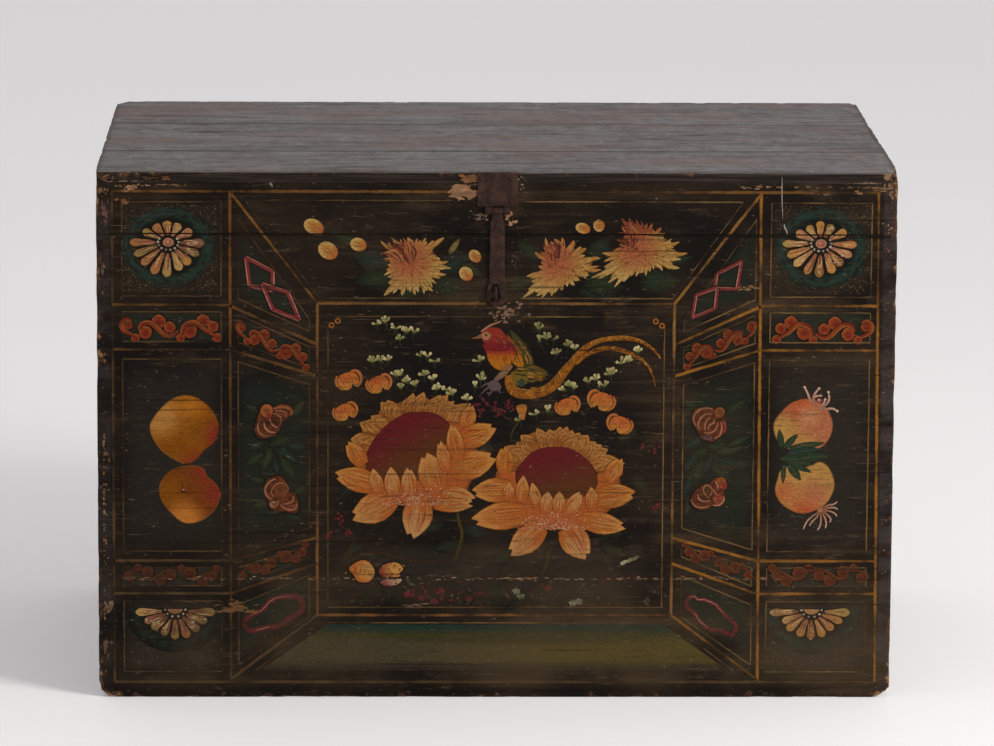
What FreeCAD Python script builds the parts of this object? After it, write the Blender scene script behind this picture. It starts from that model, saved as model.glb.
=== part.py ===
import FreeCAD, Part
import os
import re

# A painted plank chest with a lifting lid, dovetailed corners, two butt hinges and a front hasp.
# Millimetres, +X to the right of the front, +Y to the back, +Z up.
# The origin is on the floor under the middle of the whole part, hasp and staple included.
doc = FreeCAD.newDocument("PaintedChest")

# Driving dimensions
DIMENSIONS = [
    ("width", 900),
    ("depth", 580),
    ("height", 605),
    ("wall", 16),
    ("seam_height", 534),
    ("lid_board", 13),
    # board joints: front and back walls, end walls, lid top counted from the front edge
    ("front_seam_low", 138),
    ("front_seam_high", 370),
    ("end_seam_low", 214),
    ("end_seam_high", 452),
    ("top_seam_front", 160),
    ("top_seam_rear", 387),
    # through dovetails
    ("tail_root", 34),
    ("tail_end", 42),
    ("rail_tail_root", 24),
    ("rail_tail_end", 31),
    # bottom boards in a groove round the walls, two battens under them
    ("bottom_rise", 14),
    ("bottom_board", 12),
    ("groove", 6),
    ("batten_width", 40),
    ("batten_thick", 12),
    ("batten_end_gap", 2),
    ("bottom_batten_place", 260),
    # sliding dovetail battens under the lid boards
    ("lid_batten_place", 230),
    ("lid_batten_width", 34),
    ("lid_batten_drop", 20),
    ("key_depth", 4),
    ("key_neck", 22),
    ("key_top", 28),
    # bamboo pegs in the board edges and through the lid boards
    ("edge_peg_radius", 2.5),
    ("edge_peg_length", 40),
    ("edge_peg_inner", 110),
    ("edge_peg_outer", 330),
    ("end_peg_spread", 170),
    ("top_peg_radius", 2.2),
    ("top_peg_length", 45),
    # iron nails
    ("nail_radius", 1.4),
    ("nail_length", 11),
    ("nail_head", 3.2),
    ("nail_head_thick", 1),
    ("batten_nail_length", 20),
    # butt hinges let into the back
    ("hinge_place", 290),
    ("hinge_width", 50),
    ("axis_inset", 5),
    ("bevel_rise", 6.8),
    ("barrel", 4),
    ("leaf", 1.6),
    ("leaf_height", 38),
    ("leaf_gap", 8),
    ("middle_knuckle", 17),
    ("knuckle_gap", 0.5),
    ("pin_radius", 2),
    ("pin_play", 0.05),
    ("notch_depth", 10),
    ("notch_rise", 7),
    ("notch_side", 1.5),
    ("hinge_nail_spread", 16),
    ("hinge_nail_low", 17),
    ("hinge_nail_high", 38),
    # hasp
    ("plate_width", 45),
    ("plate_bottom", 566),
    ("plate_top", 604),
    ("plate_thick", 1.8),
    ("plate_nail_inset", 6),
    ("hasp_axis_height", 561),
    ("hasp_barrel", 4),
    ("hasp_eye", 3.6),
    ("hasp_pin", 1.9),
    ("plate_knuckle", 7.5),
    ("neck_width", 12),
    ("neck_bottom", 553),
    ("shoulder_bottom", 547),
    ("strap_top_width", 16),
    ("strap_low_width", 17.5),
    ("flare_top", 484),
    ("strap_end_height", 465),
    ("strap_end_width", 24),
    ("strap_thick", 2.5),
    ("strap_gap", 0.9),
    ("rivet_height", 545),
    ("rivet_radius", 1.5),
    ("rivet_head", 2.8),
    ("slot_height", 463.5),
    ("slot_radius", 6),
    ("slot_peak", 478),
    ("slot_peak_width", 5),
    # keeper staple through the front
    ("staple_side", 2),
    ("staple_height", 467),
    ("staple_reach", 14),
    ("staple_wire", 2.4),
    ("staple_bend", 6.2),
    ("clench", 16),
]

sheet = doc.addObject("Spreadsheet::Sheet", "dims")
for row, (alias, value) in enumerate(DIMENSIONS, start=1):
    sheet.set(f"A{row}", alias)
    sheet.set(f"B{row}", str(value))
    sheet.setAlias(f"B{row}", alias)
doc.recompute()

# Main faces and axes, as expressions on the sheet
LEFT = "-width / 2"
RIGHT = "width / 2"
FRONT = "(staple_reach - depth) / 2"
BACK = "(staple_reach + depth) / 2"
LID_UNDER = "(height - lid_board)"
RAIL_HEIGHT = f"({LID_UNDER} - seam_height)"
HINGE_Y = f"({BACK} - axis_inset)"
HASP_Y = f"({FRONT} - hasp_barrel)"
STRAP_Y = f"({FRONT} - strap_gap - strap_thick)"

PLACES = {"x": "Placement.Base.x", "y": "Placement.Base.y", "z": "Placement.Base.z"}
TURNS = {
    "z": FreeCAD.Rotation(),
    "x": FreeCAD.Rotation(FreeCAD.Vector(0, 1, 0), 90),
    "y": FreeCAD.Rotation(FreeCAD.Vector(1, 0, 0), -90),
}
# A taper narrows along its own Y. Upright: Y goes up, Z to the front. Hanging: Y goes down, Z to
# the back. Sideways: Y goes right, X up.
UPRIGHT = FreeCAD.Rotation(FreeCAD.Vector(1, 0, 0), 90)
HANGING = FreeCAD.Rotation(FreeCAD.Vector(1, 0, 0), -90)
SIDEWAYS = FreeCAD.Rotation(FreeCAD.Vector(1, 1, 1), -120)
# The staple's half ring stands in the plane across the front, bulging to the front
LOOP = FreeCAD.Rotation(FreeCAD.Vector(1, 0, 1), 180)

nodes = []


def bind(thing, **sizes):
    for name, text in sizes.items():
        expression = re.sub(r"[a-z_]+", lambda word: "dims." + word.group(), str(text))
        thing.setExpression(PLACES.get(name, name), expression)
    return thing


def block(name, x, y, z, length, width, height):
    thing = doc.addObject("Part::Box", name)
    return bind(thing, x=x, y=y, z=z, Length=length, Width=width, Height=height)


def rod(name, along, x, y, z, radius, length):
    thing = doc.addObject("Part::Cylinder", name)
    thing.Placement.Rotation = TURNS[along]
    return bind(thing, x=x, y=y, z=z, Radius=radius, Height=length)


def taper(name, turn, x, y, z, start, end, length, thick):
    # start and end are the full widths at the two ends, thick is the unchanging one
    thing = doc.addObject("Part::Wedge", name)
    thing.Placement.Rotation = turn
    bind(thing, x=x, y=y, z=z, Xmin=f"-({start}) / 2", Xmax=f"({start}) / 2")
    bind(thing, X2min=f"-({end}) / 2", X2max=f"({end}) / 2", Ymin=0, Ymax=length)
    return bind(thing, Zmin=0, Zmax=thick, Z2min=0, Z2max=thick)


def join(name, pieces):
    thing = doc.addObject("Part::MultiFuse", name)
    thing.Shapes = pieces
    thing.Refine = True
    return thing


def carve(name, base, tools):
    thing = doc.addObject("Part::Cut", name)
    thing.Base = base
    thing.Tool = tools[0] if len(tools) == 1 else join(name + "_tools", tools)
    thing.Refine = True
    return thing


def node(label, thing):
    thing.Label = label
    nodes.append(thing)
    return thing


# Bamboo pegs that line up the boards across each edge joint of the box
def pegs_across_seams(name, along, seams, places):
    rods = []
    for seam in seams:
        for place in places:
            spot = dict(zip("xyz", place))
            spot[along] = f"{seam} - edge_peg_length / 2"
            number = len(rods)
            rods.append(rod(f"{name}_{number}", along, radius="edge_peg_radius",
                            length="edge_peg_length", **spot))
    return rods


PEG_X = ["-edge_peg_outer", "-edge_peg_inner", "edge_peg_inner", "edge_peg_outer"]
PEG_Y = [f"{FRONT} + depth / 2 + {step} * end_peg_spread" for step in (-1, 0, 1)]
FRONT_SEAMS = ["front_seam_low", "front_seam_high"]
END_SEAMS = ["end_seam_low", "end_seam_high"]
INNER_DEPTH = "(depth - 2 * wall)"
BOTTOM_SEAMS = [f"{FRONT} + wall + {INNER_DEPTH} * {share} / 3" for share in (1, 2)]
BOTTOM_MIDDLE = "bottom_rise + bottom_board / 2"

wall_rows = [(x, f"{FRONT} + wall / 2", 0) for x in PEG_X]
wall_rows += [(x, f"{BACK} - wall / 2", 0) for x in PEG_X]
end_rows = [(f"{LEFT} + wall / 2", y, 0) for y in PEG_Y]
end_rows += [(f"{RIGHT} - wall / 2", y, 0) for y in PEG_Y]
bottom_rows = [(x, 0, BOTTOM_MIDDLE) for x in PEG_X]
wall_pegs = join("wall_pegs", pegs_across_seams("wall_peg", "z", FRONT_SEAMS, wall_rows))
end_pegs = join("end_pegs", pegs_across_seams("end_peg", "z", END_SEAMS, end_rows))
bottom_pegs = join("bottom_pegs", pegs_across_seams("bottom_peg", "y", BOTTOM_SEAMS, bottom_rows))
node("box_edge_pegs", join("all_box_pegs", [wall_pegs, end_pegs, bottom_pegs]))

# Pegs across the joints of the lid boards, and pegs that hold those boards down on the rails
top_seams = [f"{FRONT} + top_seam_front", f"{FRONT} + top_seam_rear"]
top_rows = [(x, 0, "height - lid_board / 2") for x in PEG_X]
lid_edge_pegs = join("lid_seam_pegs", pegs_across_seams("lid_peg", "y", top_seams, top_rows))
node("lid_edge_pegs", lid_edge_pegs)

RAIL_PEG_SHARES = (-0.44, -0.24, -0.09, 0.09, 0.24, 0.44)
END_RAIL_PEG_SHARES = (-0.3, 0, 0.3)
top_spots = []
for share in RAIL_PEG_SHARES:
    top_spots.append((f"width * {share}", f"{FRONT} + wall / 2"))
    top_spots.append((f"width * {share}", f"{BACK} - wall / 2"))
for share in END_RAIL_PEG_SHARES:
    top_spots.append((f"{LEFT} + wall / 2", f"{FRONT} + depth * (0.5 + {share})"))
    top_spots.append((f"{RIGHT} - wall / 2", f"{FRONT} + depth * (0.5 + {share})"))
top_rods = [
    rod(f"top_peg_{number}", "z", x, y, "height - top_peg_length", "top_peg_radius", "top_peg_length")
    for number, (x, y) in enumerate(top_spots)
]
lid_board_pegs = node("lid_board_pegs", join("top_pegs", top_rods))

# Cuts along the back: the two bevels that meet when the lid is fully open, and the hinge notches
def bevel(name, turn, y, edge):
    # a prism as wide as the chest that shrinks to a line on the back face, edge away from its start
    thing = doc.addObject("Part::Wedge", name)
    thing.Placement.Rotation = turn
    bind(thing, x=LEFT, y=y, z="seam_height", Xmin=0, Xmax="width", X2min=0, X2max="width")
    return bind(thing, Ymin=0, Ymax="bevel_rise", Zmin=0, Zmax="axis_inset", Z2min=edge, Z2max=edge)


box_bevel = bevel("box_bevel", HANGING, HINGE_Y, "axis_inset")
lid_bevel = bevel("lid_bevel", UPRIGHT, BACK, 0)

HINGE_SIDES = {"left": "-hinge_place", "right": "hinge_place"}
LEAF_Y = f"({HINGE_Y} + barrel - leaf)"
LEAF_REACH = "(leaf_gap + leaf_height)"
box_notches = [box_bevel]
lid_notches = [lid_bevel]
for side, centre in HINGE_SIDES.items():
    notch_x = f"{centre} - hinge_width / 2 - notch_side"
    notch_length = "hinge_width + 2 * notch_side"
    notch_y = f"{BACK} - notch_depth"
    leaf_x = f"{centre} - hinge_width / 2"
    pocket_depth = f"{BACK} - {LEAF_Y}"
    box_notches += [
        block(f"box_notch_{side}", notch_x, notch_y, "seam_height - notch_rise",
              notch_length, "notch_depth", "notch_rise"),
        block(f"box_pocket_{side}", leaf_x, LEAF_Y, f"seam_height - {LEAF_REACH}",
              "hinge_width", pocket_depth, LEAF_REACH),
    ]
    lid_notches += [
        block(f"lid_notch_{side}", notch_x, notch_y, "seam_height",
              notch_length, "notch_depth", "notch_rise"),
        block(f"lid_pocket_{side}", leaf_x, LEAF_Y, "seam_height",
              "hinge_width", pocket_depth, LEAF_REACH),
    ]

# Keeper staple: a wire loop whose two legs go through the front and are bent over inside
STAPLE_X = "-staple_side"
STAPLE_LEG_Y = f"({FRONT} - staple_reach + staple_bend + staple_wire)"
STAPLE_INSIDE_Y = f"({FRONT} + wall + staple_wire)"
loop = doc.addObject("Part::Torus", "staple_loop")
loop.Placement.Rotation = LOOP
loop.Angle3 = 180
bind(loop, x=STAPLE_X, y=STAPLE_LEG_Y, z="staple_height", Radius1="staple_bend", Radius2="staple_wire")
staple_parts = [loop]
staple_legs = []
CLENCH_STARTS = {"upper": "0", "lower": "-clench"}
for end, sign in (("upper", "+"), ("lower", "-")):
    leg_z = f"staple_height {sign} staple_bend"
    leg = rod(f"staple_leg_{end}", "y", STAPLE_X, STAPLE_LEG_Y, leg_z,
              "staple_wire", f"{STAPLE_INSIDE_Y} - {STAPLE_LEG_Y}")
    elbow = doc.addObject("Part::Sphere", f"staple_elbow_{end}")
    bind(elbow, x=STAPLE_X, y=STAPLE_INSIDE_Y, z=leg_z, Radius="staple_wire")
    tip = rod(f"staple_tip_{end}", "z", STAPLE_X, STAPLE_INSIDE_Y, f"{leg_z} + {CLENCH_STARTS[end]}",
              "staple_wire", "clench")
    staple_legs.append(leg)
    staple_parts += [leg, elbow, tip]
node("keeper_staple", join("staple", staple_parts))


# Dovetails: tails stand on the ends of the front and back pieces, sockets are cut in the end pieces
def tails(name, side, y, middle, root, end):
    if side == "right":
        return taper(name, SIDEWAYS, f"{RIGHT} - wall", y, middle, root, end, "wall", "wall")
    return taper(name, SIDEWAYS, LEFT, y, middle, end, root, "wall", "wall")


LONG_WALLS = {"front": FRONT, "back": f"{BACK} - wall"}
END_WALLS = {"left": LEFT, "right": f"{RIGHT} - wall"}
LEVELS = ("lower", "middle", "upper")
TAIL_COUNTS = {"lower": 2, "middle": 3, "upper": 2}
front_edges = ["0", "front_seam_low", "front_seam_high", "seam_height"]
end_edges = ["0", "end_seam_low", "end_seam_high", "seam_height"]
INNER_WIDTH = "(width - 2 * wall)"
front_groove = block("front_groove", f"{LEFT} + wall", f"{FRONT} + wall - groove", "bottom_rise",
                     INNER_WIDTH, f"{INNER_DEPTH} + 2 * groove", "bottom_board")
end_groove = block("end_groove", f"{LEFT} + wall - groove", f"{FRONT} + wall", "bottom_rise",
                   f"{INNER_WIDTH} + 2 * groove", INNER_DEPTH, "bottom_board")

# Front and back walls, three boards each
box_tails = {"left": [], "right": []}
long_cuts = {("front", "upper"): staple_legs, ("back", "upper"): box_notches}
for wall_name, y in LONG_WALLS.items():
    for level, low, high in zip(LEVELS, front_edges, front_edges[1:]):
        name = f"{wall_name}_board_{level}"
        pieces = [block(f"{name}_plank", f"{LEFT} + wall", y, low, INNER_WIDTH, "wall", f"{high} - {low}")]
        count = TAIL_COUNTS[level]
        for side in END_WALLS:
            for number in range(count):
                middle = f"{low} + ({high} - {low}) * {(number + 0.5) / count}"
                tail = tails(f"{name}_{side}_tail_{number}", side, y, middle, "tail_root", "tail_end")
                pieces.append(tail)
                box_tails[side].append(tail)
        tools = [wall_pegs] + long_cuts.get((wall_name, level), [])
        if level == "lower":
            tools = tools + [front_groove]
        node(name, carve(f"{name}_cut", join(f"{name}_blank", pieces), tools))

# End walls, three boards each, with joints at other heights than the front
for side, x in END_WALLS.items():
    sockets = join(f"{side}_sockets", box_tails[side])
    for level, low, high in zip(LEVELS, end_edges, end_edges[1:]):
        name = f"{side}_end_board_{level}"
        plank = block(f"{name}_plank", x, FRONT, low, "wall", "depth", f"{high} - {low}")
        tools = [end_pegs, sockets]
        if level == "lower":
            tools.append(end_groove)
        if level == "upper":
            tools.append(box_bevel)
        node(name, carve(f"{name}_cut", plank, tools))

# Bottom: three long boards in the groove, the outer two with a tongue into the front or back wall
BOTTOM_WIDTH = f"{INNER_DEPTH} / 3"
for number, place in enumerate(("front", "middle", "rear")):
    y = f"{FRONT} + wall + {BOTTOM_WIDTH} * {number}"
    board = block(f"bottom_{place}_plank", f"{LEFT} + wall - groove", y, "bottom_rise",
                  f"{INNER_WIDTH} + 2 * groove", BOTTOM_WIDTH, "bottom_board")
    pieces = [board]
    if place != "middle":
        tongue_y = f"{FRONT} + wall - groove" if place == "front" else f"{BACK} - wall"
        pieces.append(block(f"bottom_{place}_tongue", f"{LEFT} + wall", tongue_y, "bottom_rise",
                            INNER_WIDTH, "groove", "bottom_board"))
    blank = join(f"bottom_{place}_blank", pieces) if len(pieces) > 1 else board
    node(f"bottom_board_{place}", carve(f"bottom_{place}_cut", blank, [bottom_pegs]))


# Iron nails with flat heads: a shank driven from the head's face and the head on top of it
def nail(name, along, x, y, z, length, inward):
    # inward is + or -, the way the point goes along the axis from the face that carries the head
    start = {"x": x, "y": y, "z": z}
    shank_at = dict(start)
    head_at = dict(start)
    if inward == "+":
        head_at[along] = f"{start[along]} - nail_head_thick"
    else:
        shank_at[along] = f"{start[along]} - {length}"
    shank = rod(f"{name}_shank", along, radius="nail_radius", length=length, **shank_at)
    head = rod(f"{name}_head", along, radius="nail_head", length="nail_head_thick", **head_at)
    return join(name, [shank, head])


# Two battens under the bottom boards, nailed from inside, two nails to each board
BATTENS = {"left": "-bottom_batten_place", "right": "bottom_batten_place"}
NAILS_PER_BATTEN = 6
batten_nails = []
for side, centre in BATTENS.items():
    batten = block(f"bottom_batten_{side}_bar", f"{centre} - batten_width / 2",
                   f"{FRONT} + wall + batten_end_gap", "bottom_rise - batten_thick",
                   "batten_width", f"{INNER_DEPTH} - 2 * batten_end_gap", "batten_thick")
    node(f"bottom_batten_{side}", batten)
    for number in range(NAILS_PER_BATTEN):
        y = f"{FRONT} + wall + {INNER_DEPTH} * {(number + 0.5) / NAILS_PER_BATTEN}"
        batten_nails.append(nail(f"batten_nail_{side}_{number}", "z", centre, y,
                                 "bottom_rise + bottom_board", "batten_nail_length", "-"))
node("bottom_batten_nails", join("all_batten_nails", batten_nails))

# Lid rails, dovetailed with one tail at each corner
RAIL_MIDDLE = f"seam_height + {RAIL_HEIGHT} / 2"
rail_tails = {"left": [], "right": []}
for wall_name, y in LONG_WALLS.items():
    name = f"lid_{wall_name}_rail"
    pieces = [block(f"{name}_bar", f"{LEFT} + wall", y, "seam_height", INNER_WIDTH, "wall", RAIL_HEIGHT)]
    for side in END_WALLS:
        tail = tails(f"{name}_{side}_tail", side, y, RAIL_MIDDLE, "rail_tail_root", "rail_tail_end")
        pieces.append(tail)
        rail_tails[side].append(tail)
    tools = [lid_board_pegs] + (lid_notches if wall_name == "back" else [])
    node(name, carve(f"{name}_cut", join(f"{name}_blank", pieces), tools))
for side, x in END_WALLS.items():
    name = f"lid_{side}_rail"
    bar = block(f"{name}_bar", x, FRONT, "seam_height", "wall", "depth", RAIL_HEIGHT)
    node(name, carve(f"{name}_cut", bar, rail_tails[side] + [lid_board_pegs, lid_bevel]))

# Two lid battens with a dovetail key that slides into the underside of the boards
lid_keys = []
for side, centre in {"left": "-lid_batten_place", "right": "lid_batten_place"}.items():
    key = taper(f"lid_key_{side}", UPRIGHT, centre, f"{BACK} - wall", LID_UNDER,
                "key_neck", "key_top", "key_depth", INNER_DEPTH)
    bar = block(f"lid_batten_{side}_bar", f"{centre} - lid_batten_width / 2", f"{FRONT} + wall",
                f"{LID_UNDER} - lid_batten_drop", "lid_batten_width", INNER_DEPTH, "lid_batten_drop")
    lid_keys.append(key)
    node(f"lid_batten_{side}", join(f"lid_batten_{side}_whole", [bar, key]))

# Lid top, three long boards
top_edges = ["0", "top_seam_front", "top_seam_rear", "depth"]
for place, near, far in zip(("front", "middle", "rear"), top_edges, top_edges[1:]):
    plank = block(f"lid_{place}_plank", LEFT, f"{FRONT} + {near}", LID_UNDER,
                  "width", f"{far} - {near}", "lid_board")
    node(f"lid_board_{place}", carve(f"lid_{place}_cut", plank, [lid_edge_pegs, lid_board_pegs] + lid_keys))


# Butt hinges: the box leaf has the two outer knuckles and holds the pin, the lid leaf the middle one
def leaf_body(name, centre, knuckles, upward, bore):
    plate_z = "seam_height + leaf_gap" if upward else f"seam_height - {LEAF_REACH}"
    root_z = "seam_height" if upward else "seam_height - leaf_gap"
    pieces = [block(f"{name}_plate", f"{centre} - hinge_width / 2", LEAF_Y, plate_z,
                    "hinge_width", "leaf", "leaf_height")]
    for number, (start, length) in enumerate(knuckles):
        x = f"{centre} + {start}"
        pieces.append(block(f"{name}_root_{number}", x, LEAF_Y, root_z, length, "leaf", "leaf_gap"))
        pieces.append(rod(f"{name}_knuckle_{number}", "x", x, HINGE_Y, "seam_height", "barrel", length))
    hole = rod(f"{name}_bore", "x", f"{centre} - hinge_width", HINGE_Y, "seam_height",
               bore, "2 * hinge_width")
    return join(f"{name}_blank", pieces), hole


OUTER_KNUCKLE = "((hinge_width - middle_knuckle) / 2 - knuckle_gap)"
OUTER_KNUCKLES = [("(-hinge_width / 2)", OUTER_KNUCKLE),
                  ("(middle_knuckle / 2 + knuckle_gap)", OUTER_KNUCKLE)]
MIDDLE_KNUCKLE = [("(-middle_knuckle / 2)", "middle_knuckle")]
hinge_nails = {"box": [], "lid": []}
for side, centre in HINGE_SIDES.items():
    for part, knuckles, upward, sign, bore in (
        ("box", OUTER_KNUCKLES, False, "-", "pin_radius"),
        ("lid", MIDDLE_KNUCKLE, True, "+", "pin_radius + pin_play"),
    ):
        name = f"hinge_{side}_{part}_leaf"
        leaf_nails = [
            nail(f"{name}_nail_{number}", "y", f"{centre} + {across} * hinge_nail_spread",
                 f"{LEAF_Y} + leaf", f"seam_height {sign} {rise}", "nail_length", "-")
            for number, (across, rise) in enumerate(
                [(-1, "hinge_nail_low"), (1, "hinge_nail_low"),
                 (-1, "hinge_nail_high"), (1, "hinge_nail_high")])
        ]
        hinge_nails[part] += leaf_nails
        blank, hole = leaf_body(name, centre, knuckles, upward, bore)
        node(name, carve(f"{name}_cut", blank, [hole] + leaf_nails))
    node(f"hinge_{side}_pin", rod(f"hinge_{side}_pin_rod", "x", f"{centre} - hinge_width / 2",
                                  HINGE_Y, "seam_height", "pin_radius", "hinge_width"))
node("box_hinge_nails", join("all_box_hinge_nails", hinge_nails["box"]))
node("lid_hinge_nails", join("all_lid_hinge_nails", hinge_nails["lid"]))

# Hasp plate on the lid front, with two knuckles under its lower edge
plate_nails = []
for across in (-1, 1):
    for rise in ("plate_bottom + plate_nail_inset", "plate_top - plate_nail_inset"):
        plate_nails.append(nail(f"plate_nail_{len(plate_nails)}", "y",
                                f"{across} * (plate_width / 2 - plate_nail_inset)",
                                f"{FRONT} - plate_thick", rise, "nail_length", "+"))
node("hasp_plate_nails", join("all_plate_nails", plate_nails))
plate_pieces = [block("plate_sheet", "-plate_width / 2", f"{FRONT} - plate_thick", "plate_bottom",
                      "plate_width", "plate_thick", "plate_top - plate_bottom")]
PLATE_KNUCKLES = {
    "left": "-(neck_width / 2 + knuckle_gap + plate_knuckle)",
    "right": "neck_width / 2 + knuckle_gap",
}
for side, x in PLATE_KNUCKLES.items():
    plate_pieces.append(block(f"plate_root_{side}", x, f"{FRONT} - plate_thick", "hasp_axis_height",
                              "plate_knuckle", "plate_thick", "plate_bottom - hasp_axis_height"))
    plate_pieces.append(rod(f"plate_knuckle_{side}", "x", x, HASP_Y, "hasp_axis_height",
                            "hasp_barrel", "plate_knuckle"))
PIN_LENGTH = "(neck_width + 2 * knuckle_gap + 2 * plate_knuckle)"
hasp_pin = rod("hasp_pin_rod", "x", f"-{PIN_LENGTH} / 2", HASP_Y, "hasp_axis_height",
               "hasp_pin", PIN_LENGTH)
node("hasp_pin", hasp_pin)
node("hasp_plate", carve("plate_cut", join("plate_blank", plate_pieces), [hasp_pin] + plate_nails))


# Hasp strap: rolled eye, neck, widening bar, flared round end with a pear shaped slot, and its rivet
def strap_taper(name, low, high, low_width, high_width):
    return taper(name, UPRIGHT, 0, f"{STRAP_Y} + strap_thick", low, low_width, high_width,
                 f"{high} - {low}", "strap_thick")


rivet_shank = rod("rivet_shank", "y", 0, STRAP_Y, "rivet_height", "rivet_radius", "strap_thick")
rivet_head = rod("rivet_dome", "y", 0, f"{STRAP_Y} - nail_head_thick", "rivet_height",
                 "rivet_head", "nail_head_thick")
node("hasp_rivet", join("rivet", [rivet_shank, rivet_head]))
strap_pieces = [
    rod("strap_eye", "x", "-neck_width / 2", HASP_Y, "hasp_axis_height", "hasp_eye", "neck_width"),
    block("strap_neck", "-neck_width / 2", STRAP_Y, "neck_bottom",
          "neck_width", "strap_thick", "hasp_axis_height - neck_bottom"),
    strap_taper("strap_shoulder", "shoulder_bottom", "neck_bottom", "strap_top_width", "neck_width"),
    strap_taper("strap_bar", "flare_top", "shoulder_bottom", "strap_low_width", "strap_top_width"),
    strap_taper("strap_flare", "strap_end_height", "flare_top", "strap_end_width", "strap_low_width"),
    rod("strap_end", "y", 0, STRAP_Y, "strap_end_height", "strap_end_width / 2", "strap_thick"),
]
strap_bore = rod("strap_bore", "x", "-neck_width", HASP_Y, "hasp_axis_height",
                 "hasp_pin + pin_play", "2 * neck_width")
slot_round = rod("slot_round", "y", STAPLE_X, STRAP_Y, "slot_height", "slot_radius", "strap_thick")
slot_peak = taper("slot_peak", UPRIGHT, STAPLE_X, f"{STRAP_Y} + strap_thick", "slot_height",
                  "2 * slot_radius", "slot_peak_width", "slot_peak - slot_height", "strap_thick")
strap = carve("strap_cut", join("strap_blank", strap_pieces),
              [strap_bore, slot_round, slot_peak, rivet_shank])
node("hasp_strap", strap)

# Every piece must have come out sound before anything is written
doc.recompute()
for thing in doc.Objects:
    if "Invalid" in thing.State or "Error" in thing.State:
        raise RuntimeError(f"{thing.Label} failed: {thing.State}")
for piece in nodes:
    if piece.Shape.isNull() or not piece.Shape.isValid():
        raise RuntimeError(f"{piece.Label} has no sound shape")

os.makedirs("parts", exist_ok=True)
for piece in nodes:
    piece.Shape.exportStep(f"parts/{piece.Label}.step")
    box = piece.Shape.BoundBox
    print(f"{piece.Label}: {len(piece.Shape.Solids)} solids, {piece.Shape.Volume:.0f} mm3, "
          f"x {box.XMin:.1f} {box.XMax:.1f}, y {box.YMin:.1f} {box.YMax:.1f}, "
          f"z {box.ZMin:.1f} {box.ZMax:.1f}")
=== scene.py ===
import math
import random
import bmesh
import bpy
from mathutils import Matrix, Vector, noise


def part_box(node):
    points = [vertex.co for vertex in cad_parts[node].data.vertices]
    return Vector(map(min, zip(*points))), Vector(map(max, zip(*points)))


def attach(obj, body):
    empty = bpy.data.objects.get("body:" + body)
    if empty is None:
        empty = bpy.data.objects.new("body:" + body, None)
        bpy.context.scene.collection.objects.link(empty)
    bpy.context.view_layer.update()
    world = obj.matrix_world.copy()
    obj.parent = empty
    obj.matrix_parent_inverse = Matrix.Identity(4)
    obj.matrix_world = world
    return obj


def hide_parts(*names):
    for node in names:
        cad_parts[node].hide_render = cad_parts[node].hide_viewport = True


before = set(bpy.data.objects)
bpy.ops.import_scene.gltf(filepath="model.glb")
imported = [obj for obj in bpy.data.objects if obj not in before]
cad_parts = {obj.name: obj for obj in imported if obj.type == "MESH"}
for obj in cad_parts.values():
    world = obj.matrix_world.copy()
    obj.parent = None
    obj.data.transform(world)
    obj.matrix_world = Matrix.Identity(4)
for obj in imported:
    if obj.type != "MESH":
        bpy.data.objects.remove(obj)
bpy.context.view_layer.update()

# Walls of the box: softwood planks lacquered brown-black outside and left bare inside.
# The long boards carry dovetails that sit in the end boards, and the outer edges are rubbed round.
# The lacquer has gone through to an undercoat and to bare wood along edges and board joints.
WOOD_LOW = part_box("front_board_lower")[0]
WOOD_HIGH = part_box("lid_board_rear")[1]
WOOD_MIDDLE = (WOOD_LOW + WOOD_HIGH) / 2
WOOD_HALF = (WOOD_HIGH - WOOD_LOW) / 2
FRONT = WOOD_LOW.y
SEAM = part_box("front_board_upper")[1].z

LACQUER_DARK = (15, 10, 7)
LACQUER_WARM = (36, 26, 17)
LACQUER_RUBBED = (61, 47, 32)
LACQUER_CRACK = (14, 10, 8)
MARGIN_LEFT = (40, 34, 32)
MARGIN_RIGHT = (54, 46, 44)
SCUFF = (86, 70, 50)
DUST = (80, 65, 45)
PALE_SPECK = (126, 106, 82)
FLAKED = (96, 79, 60)
UNDERCOAT = (70, 47, 33)
BARE_PALE = (126, 97, 68)
INSIDE_WOOD = (140, 108, 76)
INSIDE_WOOD_DARK = (112, 84, 57)
INSIDE_PORES = (88, 64, 43)
INSIDE_STAIN = (90, 70, 51)
INSIDE_JOINT = (40, 30, 22)
# how much a pattern is drawn out along each axis
EVEN = (1, 1, 1)
ALONG_X = (0.05, 1, 1)
ALONG_Y = (1, 0.05, 1)


def tone(colour):
    # written as 0 to 255 on screen, handed to the shader as linear light
    linear = []
    for part in colour[:3]:
        level = part / 255
        linear.append(level / 12.92 if level <= 0.04045 else ((level + 0.055) / 1.055) ** 2.4)
    return (*linear, colour[3] if len(colour) > 3 else 1.0)


def add_node(tree, kind, inputs, **settings):
    made = tree.nodes.new(kind)
    for key, value in settings.items():
        setattr(made, key, value)
    for key, value in inputs.items():
        if isinstance(value, bpy.types.NodeSocket):
            tree.links.new(value, made.inputs[key])
        else:
            made.inputs[key].default_value = value
    return made


def reckon(operation, first, second=0.0, clamp=False):
    # one of the two is a socket, and the node is made in its tree
    tree = (first if isinstance(first, bpy.types.NodeSocket) else second).id_data
    made = add_node(tree, "ShaderNodeMath", {0: first, 1: second}, operation=operation, use_clamp=clamp)
    return made.outputs[0]


def times(first, second):
    return reckon("MULTIPLY", first, second)


def plus(first, second):
    return reckon("ADD", first, second)


def minus(first, second):
    return reckon("SUBTRACT", first, second)


def larger(first, second):
    return reckon("MAXIMUM", first, second)


def apart(value, level):
    return reckon("ABSOLUTE", minus(value, level))


def between(value, low, high):
    made = add_node(value.id_data, "ShaderNodeMapRange", {0: value, 1: low, 2: high},
                    interpolation_type="SMOOTHSTEP")
    return made.outputs[0]


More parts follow.
